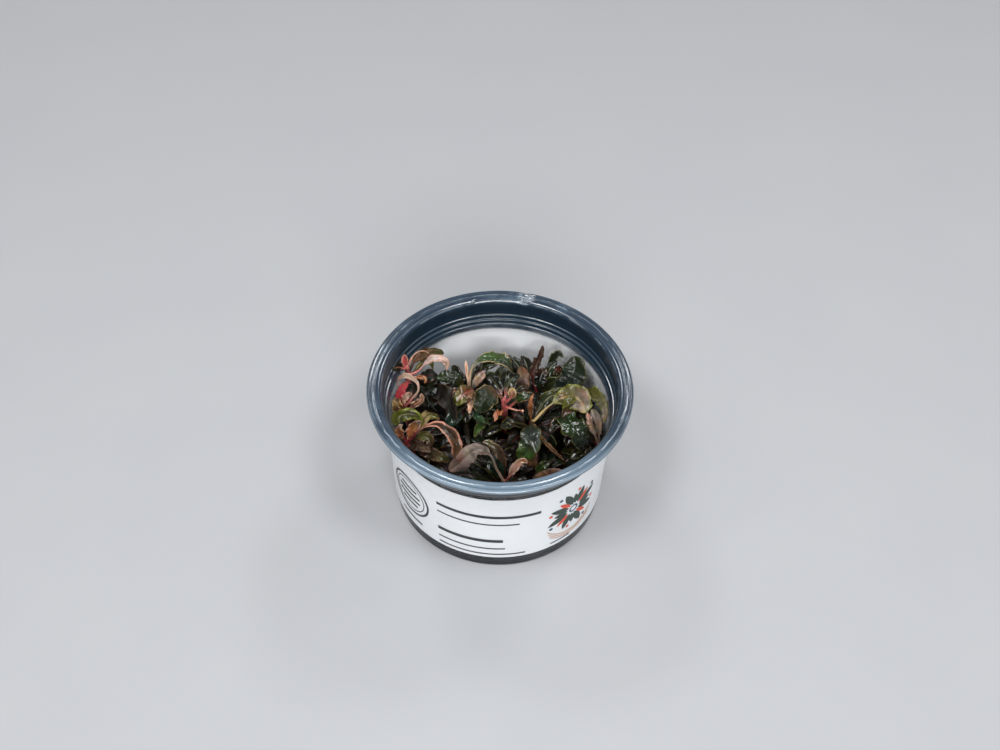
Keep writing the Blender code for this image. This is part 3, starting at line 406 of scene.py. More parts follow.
# Smaller leaves that fill in between the others
ACCENTS = {
    "mid_left": (
        Leaf(((-12, 16.2, 36), (-9.9, 17.2, 40), (-7.6, 19.7, 42), (-5.8, 22.8, 41.5)), 4,
             "umber dove lilac", "umber", gloss=0.8),
        Leaf(((-11.9, 15.8, 35), (-8, 19.1, 39), (-3.3, 20.5, 40), (-0.1, 19.8, 38.5)), 5, "ink deep olive",
             "deep", gloss=0.9),
        Leaf(((-12, 16, 36.5), (-10, 21, 41), (-5.8, 25.4, 41.5), (-1.1, 28, 40)), 4.6, "umber ink deep",
             gloss=0.95),
        Leaf(((-12, 16, 35.5), (-15, 15.8, 39), (-18.9, 15.8, 40), (-22.1, 15.5, 38.5)), 4.6,
             "umber ink umber", "bronze", gloss=0.9),
        Leaf(((-12, 16, 35), (-15.1, 19.1, 40), (-17.6, 22, 42), (-19.3, 25, 41.5)), 4.2, "ink ink deep",
             "umber", gloss=0.9),
        Leaf(((-11.6, 15.4, 31), (-16.2, 5.2, 37), (-18.3, 0.3, 38), (-20.1, -2.3, 35)), 7,
             "umber ink bottle", "deep", gloss=1),
    ),
    "back_right": (
        Leaf(((15.2, 19.2, 30.5), (8.6, 23.3, 36), (2.9, 26.9, 39), (-1.1, 30.1, 40)), 5, "wine ink deep",
             "umber", gloss=0.9),
        Leaf(((15.2, 19.2, 31), (9.4, 25.1, 37), (5.7, 29.7, 39.5), (2.8, 32.5, 40.5)), 4.6, "ink deep ink",
             "deep", gloss=0.95),
        Leaf(((15.3, 19.4, 31.5), (11.3, 25.9, 38), (9.6, 29.5, 40.5), (8, 31.7, 41)), 5, "wine ink ink",
             "umber", gloss=0.9),
        Leaf(((15.3, 19.4, 31.5), (18.9, 20.2, 37), (21.9, 19.8, 40), (24.6, 19.5, 41)), 4.6,
             "ink deep deep", gloss=1),
        Leaf(((15.3, 19.4, 31.5), (18, 22.1, 39), (19.9, 24.4, 43), (22.2, 26.8, 44)), 4.4,
             "ink deep slate", "deep", gloss=1),
    ),
    "centre": (
        Leaf(((1.6, 7.7, 39), (-0.8, 13.7, 42), (-3.3, 17.8, 42.5), (-4.9, 21.2, 41.5)), 4.8,
             "rose ink ink", "deep", gloss=0.9),
        Leaf(((1.6, 7.7, 40), (3, 13.4, 43), (4.9, 17.7, 43.5), (7.3, 20.7, 42)), 4.6, "rose deep ink",
             "deep", gloss=0.95),
        Leaf(((1.7, 7.8, 38.5), (5.8, 12.3, 42), (8.5, 15, 42), (10.9, 16.4, 40.5)), 4.2, "wine ink umber",
             "umber", gloss=0.9),
        Leaf(((1.8, 7.9, 36), (-0.1, 18.2, 41), (0.6, 23, 41.5), (1.7, 26.6, 40.5)), 5.2, "wine ink deep",
             gloss=0.95),
    ),
    "front_left": (
        Leaf(((-34.3, -8, 31.5), (-33.8, -5.9, 37), (-32.2, -4.8, 40), (-29.9, -3.5, 41.5)), 4.6,
             "crimson amber umber", "blush", crisp=1.2),
        Leaf(((-34.3, -8, 30.5), (-26.9, -13, 34), (-22.2, -16.4, 36), (-18.4, -16.2, 33.5)), 4.8,
             "umber umber olive", "bronze", crisp=0.6),
        Leaf(((-34.4, -8, 30), (-32.2, -10.6, 35), (-29.4, -12.6, 37.2), (-25.6, -14.4, 36.4)), 4.2,
             "umber umber bronze", "umber", gloss=0.9, crisp=0.8),
    ),
    "left": (
        Leaf(((-36.4, 4.7, 37), (-38.6, 3.6, 41), (-39.7, 4.9, 43), (-39.4, 7.4, 42.5)), 3.0,
             "bronze ochre umber", "straw", gloss=0.6, crisp=0.7),
        Leaf(((-36.4, 4.7, 37.5), (-37.4, 5.9, 42), (-35.9, 6.8, 44), (-34.1, 8.7, 43)), 3,
             "rose blush mauve", "salmon", gloss=0.8),
    ),
    "mid_right": (
        Leaf(((12.6, 2.6, 34), (17.1, 7.4, 41), (20.5, 9.5, 43.5), (25.6, 12.3, 44)), 5.2,
             "umber deep olive", crisp=0.6),
        Leaf(((24.2, 2.8, 43.6), (25.6, 3.6, 46.2), (27.6, 4.8, 47), (29.4, 5.6, 45.8)), 3.4,
             "moss olive moss", "lime", fold=-18, wave=0.1, stalk=0.05, gloss=1, crisp=0.1),
    ),
    "right": (
        Leaf(((29.6, 10.3, 33), (25.8, 1.6, 38), (21.8, -1.7, 39.5), (19.6, -4.2, 37)), 5, "umber ink ink",
             "bronze", gloss=1),
        Leaf(((29.6, 10.3, 33.5), (28.4, 7.6, 40), (26, 4.2, 41), (24.1, 1.9, 39.5)), 4.4,
             "umber bronze umber", "bronze", gloss=0.8),
    ),
    "front": (
        Leaf(((2.6, -19.4, 25), (-0.8, -18.7, 33), (-2.8, -18.2, 36), (-4, -15.5, 35)), 6, "ink bottle ink",
             "deep", gloss=1),
    ),
    "front_right": (
        Leaf(((14.1, -15.5, 24), (12.9, -14.6, 32), (12, -11.2, 35), (13.5, -6.2, 35)), 4.6,
             "wine bronze wine", "bronze", gloss=0.6),
    ),
}


# Curves and forms

def smooth_line(points, count):
    """Points at even spacing along a smooth curve through the given ones."""
    knots = np.array(points, float)
    knots = np.vstack([2 * knots[0] - knots[1], knots, 2 * knots[-1] - knots[-2]])
    t = np.linspace(0, 1, SPAN_STEPS, endpoint=False)[:, None]
    spans = []
    for a, b, c, d in zip(knots, knots[1:], knots[2:], knots[3:]):
        curve = 2 * b + (c - a) * t + (2 * a - 5 * b + 4 * c - d) * t**2 + (3 * b - a - 3 * c + d) * t**3
        spans.append(0.5 * curve)
    return respaced(np.vstack([*spans, knots[-2:-1]]), count)


def respaced(line, count):
    steps = np.linalg.norm(np.diff(line, axis=0), axis=1)
    run = np.concatenate([[0.0], np.cumsum(steps)])
    want = np.linspace(0, run[-1], count)
    return np.stack([np.interp(want, run, line[:, k]) for k in range(3)], axis=1)


def unit(vectors):
    vectors = np.asarray(vectors, float)
    return vectors / np.maximum(np.linalg.norm(vectors, axis=-1, keepdims=True), 1e-12)


def tangents(line):
    ends = np.vstack([line[:1], line, line[-1:]])
    return unit(ends[2:] - ends[:-2])


def normals(line, face):
    """The upper side's direction at each point: face at mid-length, carried along the line both ways."""
    along = tangents(line)
    middle = len(line) // 2
    found = np.tile(np.array(face, float), (len(line), 1))
    for k in range(middle, len(line)):
        carried = found[max(k - 1, middle)]
        found[k] = unit(carried - carried.dot(along[k]) * along[k])
    for k in range(middle - 1, -1, -1):
        found[k] = unit(found[k + 1] - found[k + 1].dot(along[k]) * along[k])
    return found


def blade_share(t, leaf):
    """The blade's half width at shares t of the length, as a share of its widest."""
    u = np.clip((t - leaf.stalk) / (1 - leaf.stalk), 0, 1)
    return np.clip(np.sin(math.pi * u ** (math.log(0.5) / math.log(leaf.peak))), 0, 1) ** leaf.blunt


def stem_line(stem, count):
    """The stem's middle line, from just over the gel to its top."""
    foot = (*stem.path[0][:2], GEL_TOP + REST_GAP)
    return smooth_line((foot, *stem.path[1:]), count)


def linear(screen):
    """A screen colour as linear light."""
    screen = np.array(screen) / 255
    return np.where(screen <= 0.04045, screen / 12.92, ((screen + 0.055) / 1.055) ** 2.4)


def colour_of(name):
    return linear(PALETTE[name])


def smooth_step(low, high, value):
    x = np.clip((value - low) / (high - low), 0, 1)
    return x * x * (3 - 2 * x)


class Sheet:
    """Vertices, faces and point values of one or more closed bodies, gathered before a mesh is made."""

    def __init__(self):
        self.points, self.faces, self.values = [], [], []
        self.count = 0

    def add_rings(self, rings, values):
        """A closed surface over equal rings (stations, points round, 3), with its point values."""
        stations, n, _ = rings.shape
        base = self.count
        index = base + np.arange(stations * n).reshape(stations, n)
        nxt = np.roll(index, -1, axis=1)
        quads = np.stack([index[:-1], nxt[:-1], nxt[1:], index[1:]], axis=-1).reshape(-1, 4)
        self.faces += [tuple(q) for q in quads.tolist()]
        self.faces += [tuple(index[0][::-1].tolist()), tuple(index[-1].tolist())]
        self.points.append(rings.reshape(-1, 3))
        self.values.append(values.reshape(-1, values.shape[-1]))
        self.count += stations * n

    def tree(self):
        return BVHTree.FromPolygons(np.vstack(self.points).tolist(), self.faces)


VALUE_NAMES = ("along", "across", "gloss", "inset")
COLOUR_NAMES = ("tint", "trim")


def piece(name, sheet, material, stands_for=()):
    """The finished object from a Sheet: metres, smooth shading, colours and values stored at its points."""
    points = np.vstack(sheet.points) * MM
    mesh = bpy.data.meshes.new(name)
    mesh.from_pydata(points.tolist(), [], sheet.faces)
    mesh.validate()
    values = np.vstack(sheet.values)
    for k, value_name in enumerate(VALUE_NAMES):
        layer = mesh.attributes.new(value_name, "FLOAT", "POINT")
        layer.data.foreach_set("value", values[:, k].astype(np.float32))
    for k, colour_name in enumerate(COLOUR_NAMES):
        colours = np.ones((len(points), 4), np.float32)
        colours[:, :3] = values[:, 4 + 3 * k:7 + 3 * k]
        mesh.attributes.new(colour_name, "FLOAT_COLOR", "POINT").data.foreach_set("color", colours.ravel())
    return finished(name, mesh, material, stands_for)


def link(obj):
    bpy.context.scene.collection.objects.link(obj)


def finished(name, mesh, material, stands_for=()):
    mesh.shade_smooth()
    for one in material if isinstance(material, list) else [material]:
        mesh.materials.append(one)
    obj = bpy.data.objects.new(name, mesh)
    link(obj)
    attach(obj, "root")
    if stands_for:
        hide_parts(*stands_for)
    return obj


def mesh_from(bm, name):
    """The bmesh as a new mesh, its faces turned outwards."""
    bmesh.ops.recalc_face_normals(bm, faces=bm.faces)
    mesh = bpy.data.meshes.new(name)
    bm.to_mesh(mesh)
    bm.free()
    return mesh


# Leaves

def leaf_stations(leaf, stem):
    """The leaf's line with its root hidden in the stem, and each point's share of the free length."""
    dense, middle = smooth_line(leaf.path, LEAF_SAMPLES), stem_line(stem, STEM_SAMPLES)
    near = np.linalg.norm(dense[:, None] - middle[None], axis=2).min(axis=1) < stem.width / 2 + REST_GAP
    start = int(np.flatnonzero(near)[-1]) + 1 if near.any() else 0
    start = min(start, len(dense) - 3)
    nearest = middle[np.linalg.norm(middle - dense[start], axis=1).argmin()]
    root = respaced(np.vstack([nearest, dense[start]]), ROOT_STATIONS + 1)[:-1]
    line = np.vstack([root, respaced(dense[start:], LEAF_MESH[0])])
    return line, np.concatenate([np.zeros(ROOT_STATIONS), np.linspace(0, 1, LEAF_MESH[0])])


def leaf_surface(sheet, leaf, line, share, strips, seed):
    """Adds the leaf's closed body: a rippled blade on a stalk, with its colours at each point."""
    along, up = tangents(line), normals(line, leaf.face)
    length = np.linalg.norm(np.diff(line, axis=0), axis=1).sum()
    turn = np.radians(leaf.twist) * (share - 0.5)
    normal = up * np.cos(turn)[:, None] + np.cross(along, up) * np.sin(turn)[:, None]
    side = np.cross(along, normal)
    blade = blade_share(share, leaf)
    taper = STALK_WIDTH / 2 * (1 - 0.85 * share)
    s = np.linspace(-1, 1, strips + 1)[None]
    t = share[:, None]
    run = TAU * t * length
    phase = 2.4 * seed
    lobes = np.sin(run / LOBES[0] + phase + 1.9 * np.sign(s)) + 0.6 * np.sin(run / LOBES[1] + 2 * phase)
    half = np.maximum(blade * leaf.width / 2, taper)[:, None] * (1 + 0.07 * blade[:, None] * lobes * s**2)
    ripple = leaf.wave * s**2 * np.sin(run / RIPPLE + 1.7 * s)
    frill = np.sin(run / FRILLS[0] + 2.8 * s + phase) + 0.5 * np.sin(run / FRILLS[1] - 1.3 * s + 2 * phase)
    frill = leaf.crisp * np.abs(s) ** 3 * frill
    quilt = 0.05 * leaf.width * np.sin(math.pi * np.abs(s)) * (1 + 0.3 * np.sin(run / QUILTING + phase))
    flap = 0.3 * half * np.abs(s) ** 1.5 * np.sin(run / FLAPS + 2.2 * np.sign(s) + phase)
    keel = np.sqrt(s**2 + 0.004) - 0.06
    fold = math.radians(leaf.fold)
    rise = keel * half * math.sin(fold) + blade[:, None] * (ripple + frill + flap + 0.6 * quilt)
    spread = s * half * math.cos(fold)
    middle = line[:, None] + side[:, None] * spread[..., None] + normal[:, None] * rise[..., None]
    thick = (LEAF_THICKNESS - STALK_THICKNESS) * np.minimum(1, 2 * blade[:, None])
    thick = STALK_THICKNESS * (1 - 0.3 * t) + thick
    thick = np.maximum(thick, 0.3) * (1 - 0.72 * s**4) / 2
    rib = 0.22 * np.exp(-(s / 0.09) ** 2) * np.minimum(1, blade[:, None] * 3) * (1 - 0.6 * t)
    upper = middle + normal[:, None] * (thick - rib)[..., None]
    lower = middle - normal[:, None] * (thick + 0.6 * rib)[..., None]
    rings = np.concatenate([upper, lower[:, ::-1]], axis=1)
    sheet.add_rings(rings, leaf_values(leaf, share, s[0], (1 - np.abs(s)) * half * 0.4 / leaf.hem))


def leaf_values(leaf, share, s, inset):
    """The values at each point round each ring: the plain ones, the colour and the margin's colour."""
    t = np.broadcast_to(share[:, None], (len(share), len(s)))
    across = np.broadcast_to(s[None], t.shape)
    base, middle, tip = (colour_of(name) for name in leaf.tints.split())
    to_middle = smooth_step(0.08, 0.45, t)[..., None]
    to_tip = smooth_step(0.55, 0.95, t)[..., None]
    front = (base * (1 - to_middle) + middle * to_middle) * (1 - to_tip) + tip * to_tip
    rib_mask = (np.exp(-(across / 0.11) ** 2) * (1 - smooth_step(0.75, 1.0, t)))[..., None]
    front = front * (1 - 0.75 * rib_mask) + colour_of(leaf.rib) * 0.75 * rib_mask
    back = np.broadcast_to(colour_of(leaf.back), front.shape)
    back = back * (1 - 0.6 * to_tip) + 0.6 * to_tip * (0.5 * tip + 0.5 * colour_of(leaf.back))
    both = np.concatenate([front, back[:, ::-1]], axis=1)
    on_blade = smooth_step(leaf.stalk - 0.05, leaf.stalk + 0.18, np.concatenate([t, t], axis=1))[..., None]
    trim = both * (1 - on_blade) + colour_of(leaf.edge) * on_blade
    gloss = np.concatenate([np.full(t.shape, leaf.gloss), np.full(t.shape, leaf.gloss * 0.6)], axis=1)
    plain = [np.concatenate([a, a[:, ::-1]], axis=1)[..., None] for a in (t, across, inset)]
    return np.concatenate([plain[0], plain[1], gloss[..., None], plain[2], both, trim], axis=-1)


def add_leaf(sheet, leaf, stations, strips, seed):
    """Adds a leaf along the whole of its path."""
    leaf_surface(sheet, leaf, smooth_line(leaf.path, stations), np.linspace(0, 1, stations), strips, seed)


def shoot(stem_name, height, bearing):
    """The point where a leaf leaves the stem, and the level direction of its bearing."""
    line = stem_line(STEMS[stem_name], SHOOT_SAMPLES)
    middle = line[np.abs(line[:, 2] - height).argmin()]
    return middle, np.array((math.cos(bearing), math.sin(bearing), 0))


def arching(start, reach, out, steps, swing=0):
    """A leaf's path from its start: (share of the reach, rise) steps along out, swinging to one side."""
    return tuple(tuple(start + reach * (out * along + swing * along**2 + np.array((0, 0, rise))))
                 for along, rise in steps)


def lower_leaf(stem_name, k):
    """The k-th small leaf of a stem's spiral: it leaves the stem, rises and bends over."""
    bearing = SPIRAL * (k + 3 * list(STEMS).index(stem_name))
    middle, out = shoot(stem_name, LOWER_START + LOWER_SPACING * k, bearing)
    path = arching(middle, LOWER_REACH, out, ((0, 0), (0.3, 0.3), (0.68, 0.5), (1, 0.36)))
    return Leaf(path, LOWER_WIDTH, face=(0.4 * out[0], 0.4 * out[1], 1), fold=0, wave=0, stalk=0.15)


def stands_in_solid(stem_name, leaf):
    """True where the stem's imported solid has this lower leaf."""
    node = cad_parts["stem_" + stem_name]
    corners = np.array([v.co[:] for v in node.data.vertices]) / MM
    return np.linalg.norm(corners - np.array(leaf.path[-1]), axis=1).min() < SAME_PLACE


def under_leaf(stem_name, height, bearing, reach, width, chance):
    """A dark leaf low in the crowd, arching out from the stem."""
    middle, out = shoot(stem_name, height, bearing)
    lift = chance.uniform(0.35, 0.75)
    steps = ((0, 0), (0.28, 0.6 * lift), (0.62, lift), (0.88, 0.85 * lift), (1, 0.5 * lift))
    swing = np.array((-out[1], out[0], 0)) * chance.uniform(-0.4, 0.4)
    return Leaf(arching(middle, reach, out, steps, swing), width,
                face=(chance.uniform(-0.5, 0.5), -0.3 + 0.5 * out[1], 1),
                fold=chance.uniform(-15, 28), wave=chance.uniform(0.3, 0.9), twist=chance.uniform(-70, 70),
                stalk=chance.uniform(0.15, 0.35), peak=chance.uniform(0.45, 0.65),
                tints=chance.choice(SHADED_UNDER_TINTS), edge=chance.choice(UNDER_EDGES),
                rib=chance.choice(("deep", "umber", "wine")), back=chance.choice(("umber", "soil", "ink")),
                gloss=chance.uniform(0.35, 0.75), crisp=chance.uniform(0.3, 0.8))


def wall_radius(z):
    """The outer radius of the cup's tapered wall."""
    return BASE_RADIUS + WALL_SLOPE * z


def hides_red_stem(line, width):
    """True where a leaf along the line would stand in front of the red stem."""
    for height in OPEN_HEIGHTS:
        steps = line - np.array((*RED_STEM, height))
        forward = steps @ OPEN_WAY
        aside = np.linalg.norm(steps - forward[:, None] * OPEN_WAY, axis=1)
        if ((forward > 0) & (aside < width / 2 + 1.0)).any():
            return True
    return False


def inside_cup(line):
    """True where a line stays clear of the wall and over the gel."""
    line = np.array(line)
    radius = np.hypot(line[:, 0], line[:, 1])
    clear = (radius < wall_radius(line[:, 2]) - WALL - WALL_ROOM).all()
    return bool(clear and line[:, 2].min() > GEL_TOP + 1)


def make_leaves(material):
    """Every leaf that has its own solid, and the search trees that keep the crowd clear of them."""
    trees = []
    for stem_name, leaves in LEAVES.items():
        for number, leaf in enumerate(leaves, 1):
            sheet = Sheet()
            line, share = leaf_stations(leaf, STEMS[stem_name])
            leaf_surface(sheet, leaf, line, share, LEAF_MESH[1], len(trees))
            name = f"{stem_name}_{number}"
            piece("blade_" + name, sheet, material, ("leaf_" + name,))
            trees.append(sheet.tree())
    return trees


def fill_crowd(crowd, stem_name, number, trees, chance):
    """Adds a stem's crowd of dark leaves, leaving out those that would cross a leaf with a solid."""
    foot, top = STEMS[stem_name].path[1][:2], STEMS[stem_name].path[-1][2]
    to_bare = np.array(BARE_PLACE) - foot
    bare_bearing = math.atan2(to_bare[1], to_bare[0])
    first_bare = ROUND_LEAVES + BEHIND_LEAVES
    for k in range(first_bare + (BARE_LEAVES if np.linalg.norm(to_bare) < BARE_REACH else 0)):
        height, bearing = chance.uniform(CROWD_FOOT, top - 1), SPIRAL * k + number
        reach, width, ceiling = chance.uniform(7, 16), chance.uniform(3, 7), CROWD_CEILING
        if ROUND_LEAVES <= k < first_bare:
            height, bearing = chance.uniform(top - 8, top - 1), chance.uniform(0.15, 0.85) * math.pi
        elif k >= first_bare:
            height, bearing = chance.uniform(CROWD_FOOT, top - 5), bare_bearing + chance.uniform(-0.7, 0.7)
            reach, width, ceiling = 1.5 * reach, 0.7 * width, BARE_CEILING
        leaf = under_leaf(stem_name, height, bearing, reach, width, chance)
        line = smooth_line(leaf.path, CROWD_MESH[0])
        if not inside_cup(leaf.path) or leaf.path[2][2] > ceiling or hides_red_stem(line, leaf.width):
            continue
        trial = Sheet()
        add_leaf(trial, leaf, *CROWD_MESH, k)
        tree = trial.tree()
        if not any(tree.overlap(other) for other in trees):
            add_leaf(crowd, leaf, *CROWD_MESH, k)


def make_stems(material, leaf_material, trees):
    """The stems with their sprouts, and the crowd of small leaves round each."""
    chance = random.Random(11)
    for number, (stem_name, stem) in enumerate(STEMS.items()):
        body, growth, crowd = Sheet(), Sheet(), Sheet()
        stem_surface(body, stem, number)
        piece(f"rhizome_{stem_name}", body, material, (f"stem_{stem_name}",))
        for k, sprout in enumerate(SPROUTS.get(stem_name, ())):
            add_leaf(growth, sprout, *SPROUT_MESH, k)
        if growth.count:
            piece(f"sprouts_{stem_name}", growth, leaf_material)
        for k, leaf in enumerate(ACCENTS.get(stem_name, ())):
            add_leaf(crowd, leaf, *ACCENT_MESH, k + number)
        for k in range(LOWER_LEAVES):
            leaf = lower_leaf(stem_name, k)
            if stands_in_solid(stem_name, leaf):
                leaf = leaf._replace(tints=chance.choice(SHADED_UNDER_TINTS), wave=0.5, crisp=0.4, gloss=0.9)
                add_leaf(crowd, leaf, *LOWER_MESH, k)
        fill_crowd(crowd, stem_name, number, trees, chance)
        if crowd.count:
            piece(f"crowd_{stem_name}", crowd, leaf_material)


def add_tube(sheet, line, radius, face, gloss, tint, trim):
    """Adds a round closed body along a line. radius holds its stations and the points round each."""
    turns = np.linspace(0, TAU, radius.shape[1], endpoint=False)[None]
    up = normals(line, face)
    side = np.cross(tangents(line), up)
    spots = line[:, None] + radius[..., None] * (side[:, None] * np.cos(turns)[..., None]
                                                 + up[:, None] * np.sin(turns)[..., None])
    zero = np.zeros(radius.shape)
    plain = np.stack([zero + np.linspace(0, 1, len(line))[:, None], zero, zero + gloss, zero], axis=-1)
    colours = [np.broadcast_to(colour, (*radius.shape, 3)) for colour in (tint, trim)]
    sheet.add_rings(spots, np.concatenate([plain, *colours], axis=-1))


def stem_surface(sheet, stem, seed):
    """A fleshy stem with a ring at every leaf scar."""
    line = stem_line(stem, STEM_MESH[0])
    line = np.vstack([line[:1] - (0, 0, 2.0), line])
    t = np.linspace(0, 1, len(line))[:, None]
    turns = np.linspace(0, TAU, STEM_MESH[1], endpoint=False)[None]
    length = stem.path[-1][2]
    scars = np.exp(-((np.mod(t * length + 0.35 * np.sin(turns), SCAR_SPACING) - 1.1) / 0.22) ** 2)
    lumps = 0.06 * np.sin(3 * turns + 9 * t + seed) + 0.05 * np.sin(2 * turns - 31 * t)
    radius = stem.width / 2 * (1 - 0.25 * t) * (1 + 0.1 * scars + lumps)
    radius = radius * np.where(t > 0.985, 0.75, 1)
    mask = smooth_step(0.45, 0.95, np.broadcast_to(t, radius.shape))[..., None]
    tint = colour_of(stem.low) * (1 - mask) + colour_of(stem.high) * mask
    add_tube(sheet, line, radius, (0, -1, 0), 0.6, tint, colour_of("umber"))


# Finishes

class Wire:
    """A socket of a material's nodes. An expression on Wires and numbers adds its Math nodes."""

    def __init__(self, finish, socket):
        self.finish, self.socket = finish, socket

    def math(self, operation, *values):
        return self.finish.node("ShaderNodeMath", {"operation": operation}, *values)[0]

    def __add__(self, other):
        return self.math("ADD", self, other)

    def __radd__(self, other):
        return self.math("ADD", other, self)

    def __sub__(self, other):
        return self.math("SUBTRACT", self, other)

    def __rsub__(self, other):
        return self.math("SUBTRACT", other, self)

    def __mul__(self, other):
        return self.math("MULTIPLY", self, other)

    def __pow__(self, other):
        return self.math("POWER", self, other)

    def __abs__(self):
        return self.math("ABSOLUTE", self)

    def __mod__(self, other):
        return self.math("FLOORED_MODULO", self, other)

    def step(self, low, high):
        """0 below low, 1 above high, smooth between, and the other way round where low is above high."""
        settings = {"interpolation_type": "SMOOTHSTEP"}
        return self.finish.node("ShaderNodeMapRange", settings, self, low, high, 0.0, 1.0)[0]


def rgba(colour):
    """A palette name or a screen colour as a socket's linear colour. A Wire stays as it is."""
    return colour if isinstance(colour, Wire) else (*linear(PALETTE.get(colour, colour)), 1.0)


class Finish:
    """One material with a Principled shader, whose nodes are added as expressions."""

    def __init__(self, name, **constants):
        self.material = bpy.data.materials.new(name)
        self.material.use_nodes = True
        self.tree = self.material.node_tree
        self.shader = self.tree.nodes["Principled BSDF"]
        self.dress(**constants)
        self.place = self.node("ShaderNodeTexCoord", {})[3]

    def node(self, kind, settings, *values, **named):
        """Adds a node: its settings first, then its sockets by order or by name. Returns its outputs."""
        made = self.tree.nodes.new(kind)
        for setting, value in settings.items():
            setattr(made, setting, value)
        for socket, value in zip([s for s in made.inputs if s.enabled], values):
            self.put(socket, value)
        for name, value in named.items():
            self.put(made.inputs[name.replace("_", " ")], value)
        return [Wire(self, s) for s in made.outputs if s.enabled]

    def put(self, socket, value):
        if isinstance(value, Wire):
            self.tree.links.new(value.socket, socket)
        else:
            socket.default_value = value

    def dress(self, **values):
        """Sets or links the shader's sockets by name, and returns the material."""
        for name, value in values.items():
            self.put(self.shader.inputs[name.replace("_", " ")], value)
        return self.material

    def point_value(self, name, part="Fac"):
        """A value stored at the mesh's points, or its colour."""
        outputs = self.node("ShaderNodeAttribute", {"attribute_name": name})
        return next(w for w in outputs if w.socket.name == part)

    def noise(self, size, detail=3.0, rough=0.55, place=None, warp=0.0):
        """Soft noise from 0 to 1 whose features are about size millimetres."""
        return self.node("ShaderNodeTexNoise", {}, Vector=place or self.place, Scale=1000 / size,
                         Detail=detail, Roughness=rough, Distortion=warp)[0]

    def mix(self, first, second, mask, blend="MIX"):
        """Two colours mixed by a mask."""
        settings = {"data_type": "RGBA", "blend_type": blend, "clamp_result": False}
        return self.node("ShaderNodeMix", settings, mask, first, second)[0]

    def layers(self, colour, *over):
        """A colour with others laid over it, each by its mask."""
        for tone, mask in over:
            colour = self.mix(rgba(colour), rgba(tone), mask)
        return colour

    def bump(self, height, depth, strength=1.0, under=None):
        """A relief whose height runs from 0 to 1 over depth millimetres."""
        named = {"Strength": strength, "Distance": depth * MM, "Height": height}
        if under:
            named["Normal"] = under
        return self.node("ShaderNodeBump", {}, **named)[0]

    def axes(self):
        """The place's x, y and z in millimetres."""
        return [wire * 1000 for wire in self.node("ShaderNodeSeparateXYZ", {}, self.place)]


def leaf_finish():
    """Waxy wet leaf: mottled colour, fine side veins, a pale trimmed margin and a pitted skin."""
    leaf = Finish("leaf_skin", IOR=1.38, Specular_IOR_Level=0.3, Coat_Roughness=0.06, Coat_IOR=1.4)
    along, across, gloss, inset = (leaf.point_value(name) for name in VALUE_NAMES)
    tint, trim = (leaf.point_value(name, "Color") for name in COLOUR_NAMES)
    wide = abs(across)
    cloud, grain = leaf.noise(3.6, 4.0, 0.6, warp=0.6), leaf.noise(0.55, 3.0, 0.65)
    mottling = (
        ((0.25, 0.24, 0.2), cloud.step(0.44, 0.7) * 0.8),
        ((1.6, 1.42, 1.15), leaf.noise(7.5, 2.0, 0.5).step(0.52, 0.7) * 0.7),
        ((1.2, 0.7, 0.56), leaf.noise(5.0, 3.0, 0.5).step(0.52, 0.7) * 0.7),
        ((0.95, 1.25, 0.6), leaf.noise(4.2, 4.0, 0.6).step(0.5, 0.7) * 0.6),
    )
    colour = tint
    for tone, mask in mottling:
        colour = leaf.mix(colour, (*tone, 1.0), mask, "MULTIPLY")
    slant = along * 17 - wide * 1.6 + cloud * 0.5
    vein = (abs((slant % 1.0) - 0.5) * 2).step(0.86, 1.0) * wide.step(0.06, 0.2) * wide.step(0.95, 0.8)
    margin = (inset + (grain - 0.5) * 0.3).step(0.62, 0.22)
    margin = margin * (0.35 + leaf.noise(4.5, 2.0, 0.5).step(0.35, 0.6) * 0.6)
    speck = leaf.noise(0.9, 2.0, 0.5).step(0.66, 0.74)
    pits = leaf.node("ShaderNodeTexVoronoi", {"feature": "F1"}, Vector=leaf.place, Scale=1000 / 0.42)[0]
    relief = leaf.bump(vein, 0.1, 0.3)
    relief = leaf.bump(leaf.noise(2.2, 2.0, 0.5), 0.24, 0.6, relief)
    relief = leaf.bump(leaf.noise(0.95, 2.0, 0.5, warp=0.4), 0.09, 0.5, relief)
    return leaf.dress(
        Base_Color=leaf.layers(colour, (trim, vein * 0.03), (trim, margin), ((22, 14, 8), speck * 0.35)),
        Roughness=0.5 - gloss * 0.28 + grain * 0.1 + speck * 0.1,
        Coat_Weight=gloss.step(0.3, 1.05) * 0.75,
        Normal=leaf.bump(pits.step(0.0, 0.5) * 0.5 + grain * 0.5, 0.025, 0.5, relief))


def stem_finish():
    """Fleshy stem: streaked red and brown, with dark leaf scars."""
    stem = Finish("stem_flesh", IOR=1.45)
    tint, trim = (stem.point_value(name, "Color") for name in COLOUR_NAMES)
    drawn = stem.node("ShaderNodeVectorMath", {"operation": "MULTIPLY"}, stem.place, (1.0, 1.0, 0.25))[0]
    streak = stem.noise(0.7, 3.0, 0.6, drawn)
    pale = stem.noise(1.3, 2.0, 0.5, drawn).step(0.52, 0.7) * 0.5
    return stem.dress(Base_Color=stem.layers(tint, (trim, streak.step(0.42, 0.68) * 0.8), ("salmon", pale)),
                      Roughness=0.3 + streak * 0.25, Normal=stem.bump(streak, 0.15, 0.7))


def wall_finish():
    """The thin clear wall and floor of the cup, with painted shade above the sleeve and near the base."""
    wall = Finish("wall_plastic", IOR=1.49, Transmission_Weight=0.92)
    z = wall.axes()[2]
    haze = wall.noise(14.0, 3.0)
    # Painted shade: above the sleeve and near the base the wall is darkened and made nearly opaque
    painted_dark_band = z.step(45.0, 46.4) + z.step(7.5, 5.5)
    dull = haze.step(0.45, 0.8) * 0.3
    colour = wall.layers((234, 239, 242), ((50, 66, 82), painted_dark_band), ((206, 216, 222), dull))
    return wall.dress(Base_Color=colour, Roughness=0.08 + haze * 0.08, Alpha=0.14 + painted_dark_band * 0.76,
                      Normal=wall.bump(wall.noise(7.0, 3.0), 0.1, 0.5))


